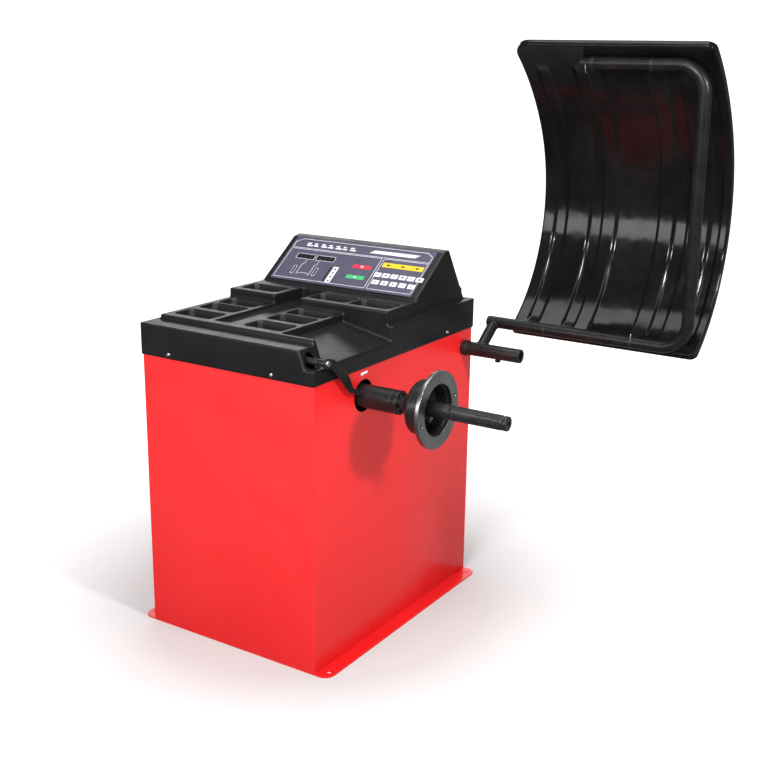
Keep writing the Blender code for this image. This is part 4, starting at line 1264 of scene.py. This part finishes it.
def build_guard_frame():
    path = frame_path(16)
    local = [point - PIVOT for point in path]
    shape, outer = sweep(local, TUBE_RADIUS, TUBE_SIDES)
    shape, inner = sweep(local, TUBE_BORE, TUBE_SIDES, shape)
    for index in (0, -1):
        bridge(shape, outer[index], inner[index])
    piece("guard_frame_tube", shape, "tube", "guard", ("guard_frame",), PIVOT)
    for name, point in (("inner", local[0]), ("outer", local[-1])):
        cap = turned(soften([(0.010, 0.0), (0.010, 0.0136), (-0.0002, 0.0136), (-0.0002, 0.0156),
                             (-0.0022, 0.0150), (-0.0034, 0.0)], 0.0006), 48)
        piece("guard_tube_cap_" + name, cap, "black_plastic", "guard",
              origin=PIVOT + point + Vector((-0.0002, 0.0, 0.0)))
    build_clamps(path)


def build_clamps(path):
    """Narrow saddle clamps that hold the shell to its tube."""
    places = [
        ("low_inner", 0.470, path[0]), ("low_outer", 0.720, path[0]),
        ("top_inner", 0.575, path[-1]), ("top_outer", 0.730, path[-1]),
    ]
    for name, x, at in places:
        shape = bmesh.new()
        rings = []
        outer = arc((0, 0), 0.0172, 95, 265, 22)
        inner = arc((0, 0), 0.0161, 265, 95, 22)
        for edge_x in (-0.0035, 0.0035):
            rings.append([shape.verts.new((edge_x, y, z)) for y, z in outer + inner])
        bridge(shape, *rings)
        count = len(rings[0])
        for ring in rings:
            half = count // 2
            for i in range(half - 1):
                shape.faces.new((ring[i], ring[i + 1], ring[count - 2 - i], ring[count - 1 - i]))
        origin = Vector((x, at.y, at.z))
        piece("guard_clamp_" + name, shape, "black_steel", "guard", origin=origin)
    for name, x, at, way in (("low", 0.720, path[0], 1), ("top", 0.560, path[-1], -1)):
        pin = [Vector((0.0, -0.0150, way * 0.004)), Vector((0.0, -0.0150, way * 0.012)),
               Vector((0.0005, -0.0140, way * 0.020)), Vector((0.002, -0.0120, way * 0.024))]
        shape, _ = sweep(pin, 0.0015, 14, caps=True)
        piece("guard_pin_" + name, shape, "bright_steel", "guard",
              origin=Vector((x, at.y, at.z)))


def build_guard():
    build_guard_shell()
    build_guard_frame()
    low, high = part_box("guard_tube")
    outer = (high.z - low.z) / 2
    tube = soften(
        [(low.x, outer), (high.x, outer), (high.x, 0.0125), (low.x, 0.0125)], 0.0010, 4, True
    )
    piece("guard_pivot_tube", turned(tube, 72, True), "black_steel", "guard",
          ("guard_tube",), PIVOT)
    low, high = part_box("guard_collar")
    collar = soften(
        [(low.x, 0.0215), (0.2810, 0.0215), (high.x, 0.0198), (high.x, 0.0130), (low.x, 0.0130)],
        0.0008, 4, True,
    )
    piece("guard_collar_turned", turned(collar, 72, True), "black_steel", "machine",
          ("guard_collar",), PIVOT)
    low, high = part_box("guard_shaft")
    radius = (high.z - low.z) / 2
    shaft = soften([(low.x, 0.0), (low.x, radius), (high.x, radius), (high.x, 0.0)], 0.001)
    piece("guard_shaft_turned", turned(shaft, 64), "bright_steel", "guard",
          ("guard_shaft",), PIVOT)
    eased("guard_bolt", "black_steel", 0.0007, 3)
    arm_x = middle("guard_arm").x
    foot = Vector((arm_x, PIVOT.y, PIVOT.z))
    frame_at = frame_path(4)[0]
    head = Vector((arm_x, frame_at.y, frame_at.z))
    way = (head - foot).normalized()
    start, end = foot + way * 0.014, head - way * 0.011
    points = [start + (end - start) * i / 6 - PIVOT for i in range(7)]
    shape, _ = sweep(points, 0.015, 48, caps=True)
    piece("guard_arm_rod", shape, "tube", "guard", ("guard_arm",), PIVOT)
    beads = bmesh.new()
    weld_bead(beads, foot - PIVOT, way, 0.0152, 0.0190, 0.4)
    weld_bead(beads, head - PIVOT, -way, 0.0148, 0.0160, 1.7)
    piece("guard_weld_beads", beads, "black_steel", "guard", origin=PIVOT)


# ---------------------------------------------------------------- all of it

def main():
    make_camera()
    make_stage()
    make_lights()
    build_cabinet()
    build_cover()
    build_cover_screws()
    build_display()
    build_spindle()
    build_inside()
    build_gauge()
    build_guard()
    bpy.context.view_layer.update()


main()
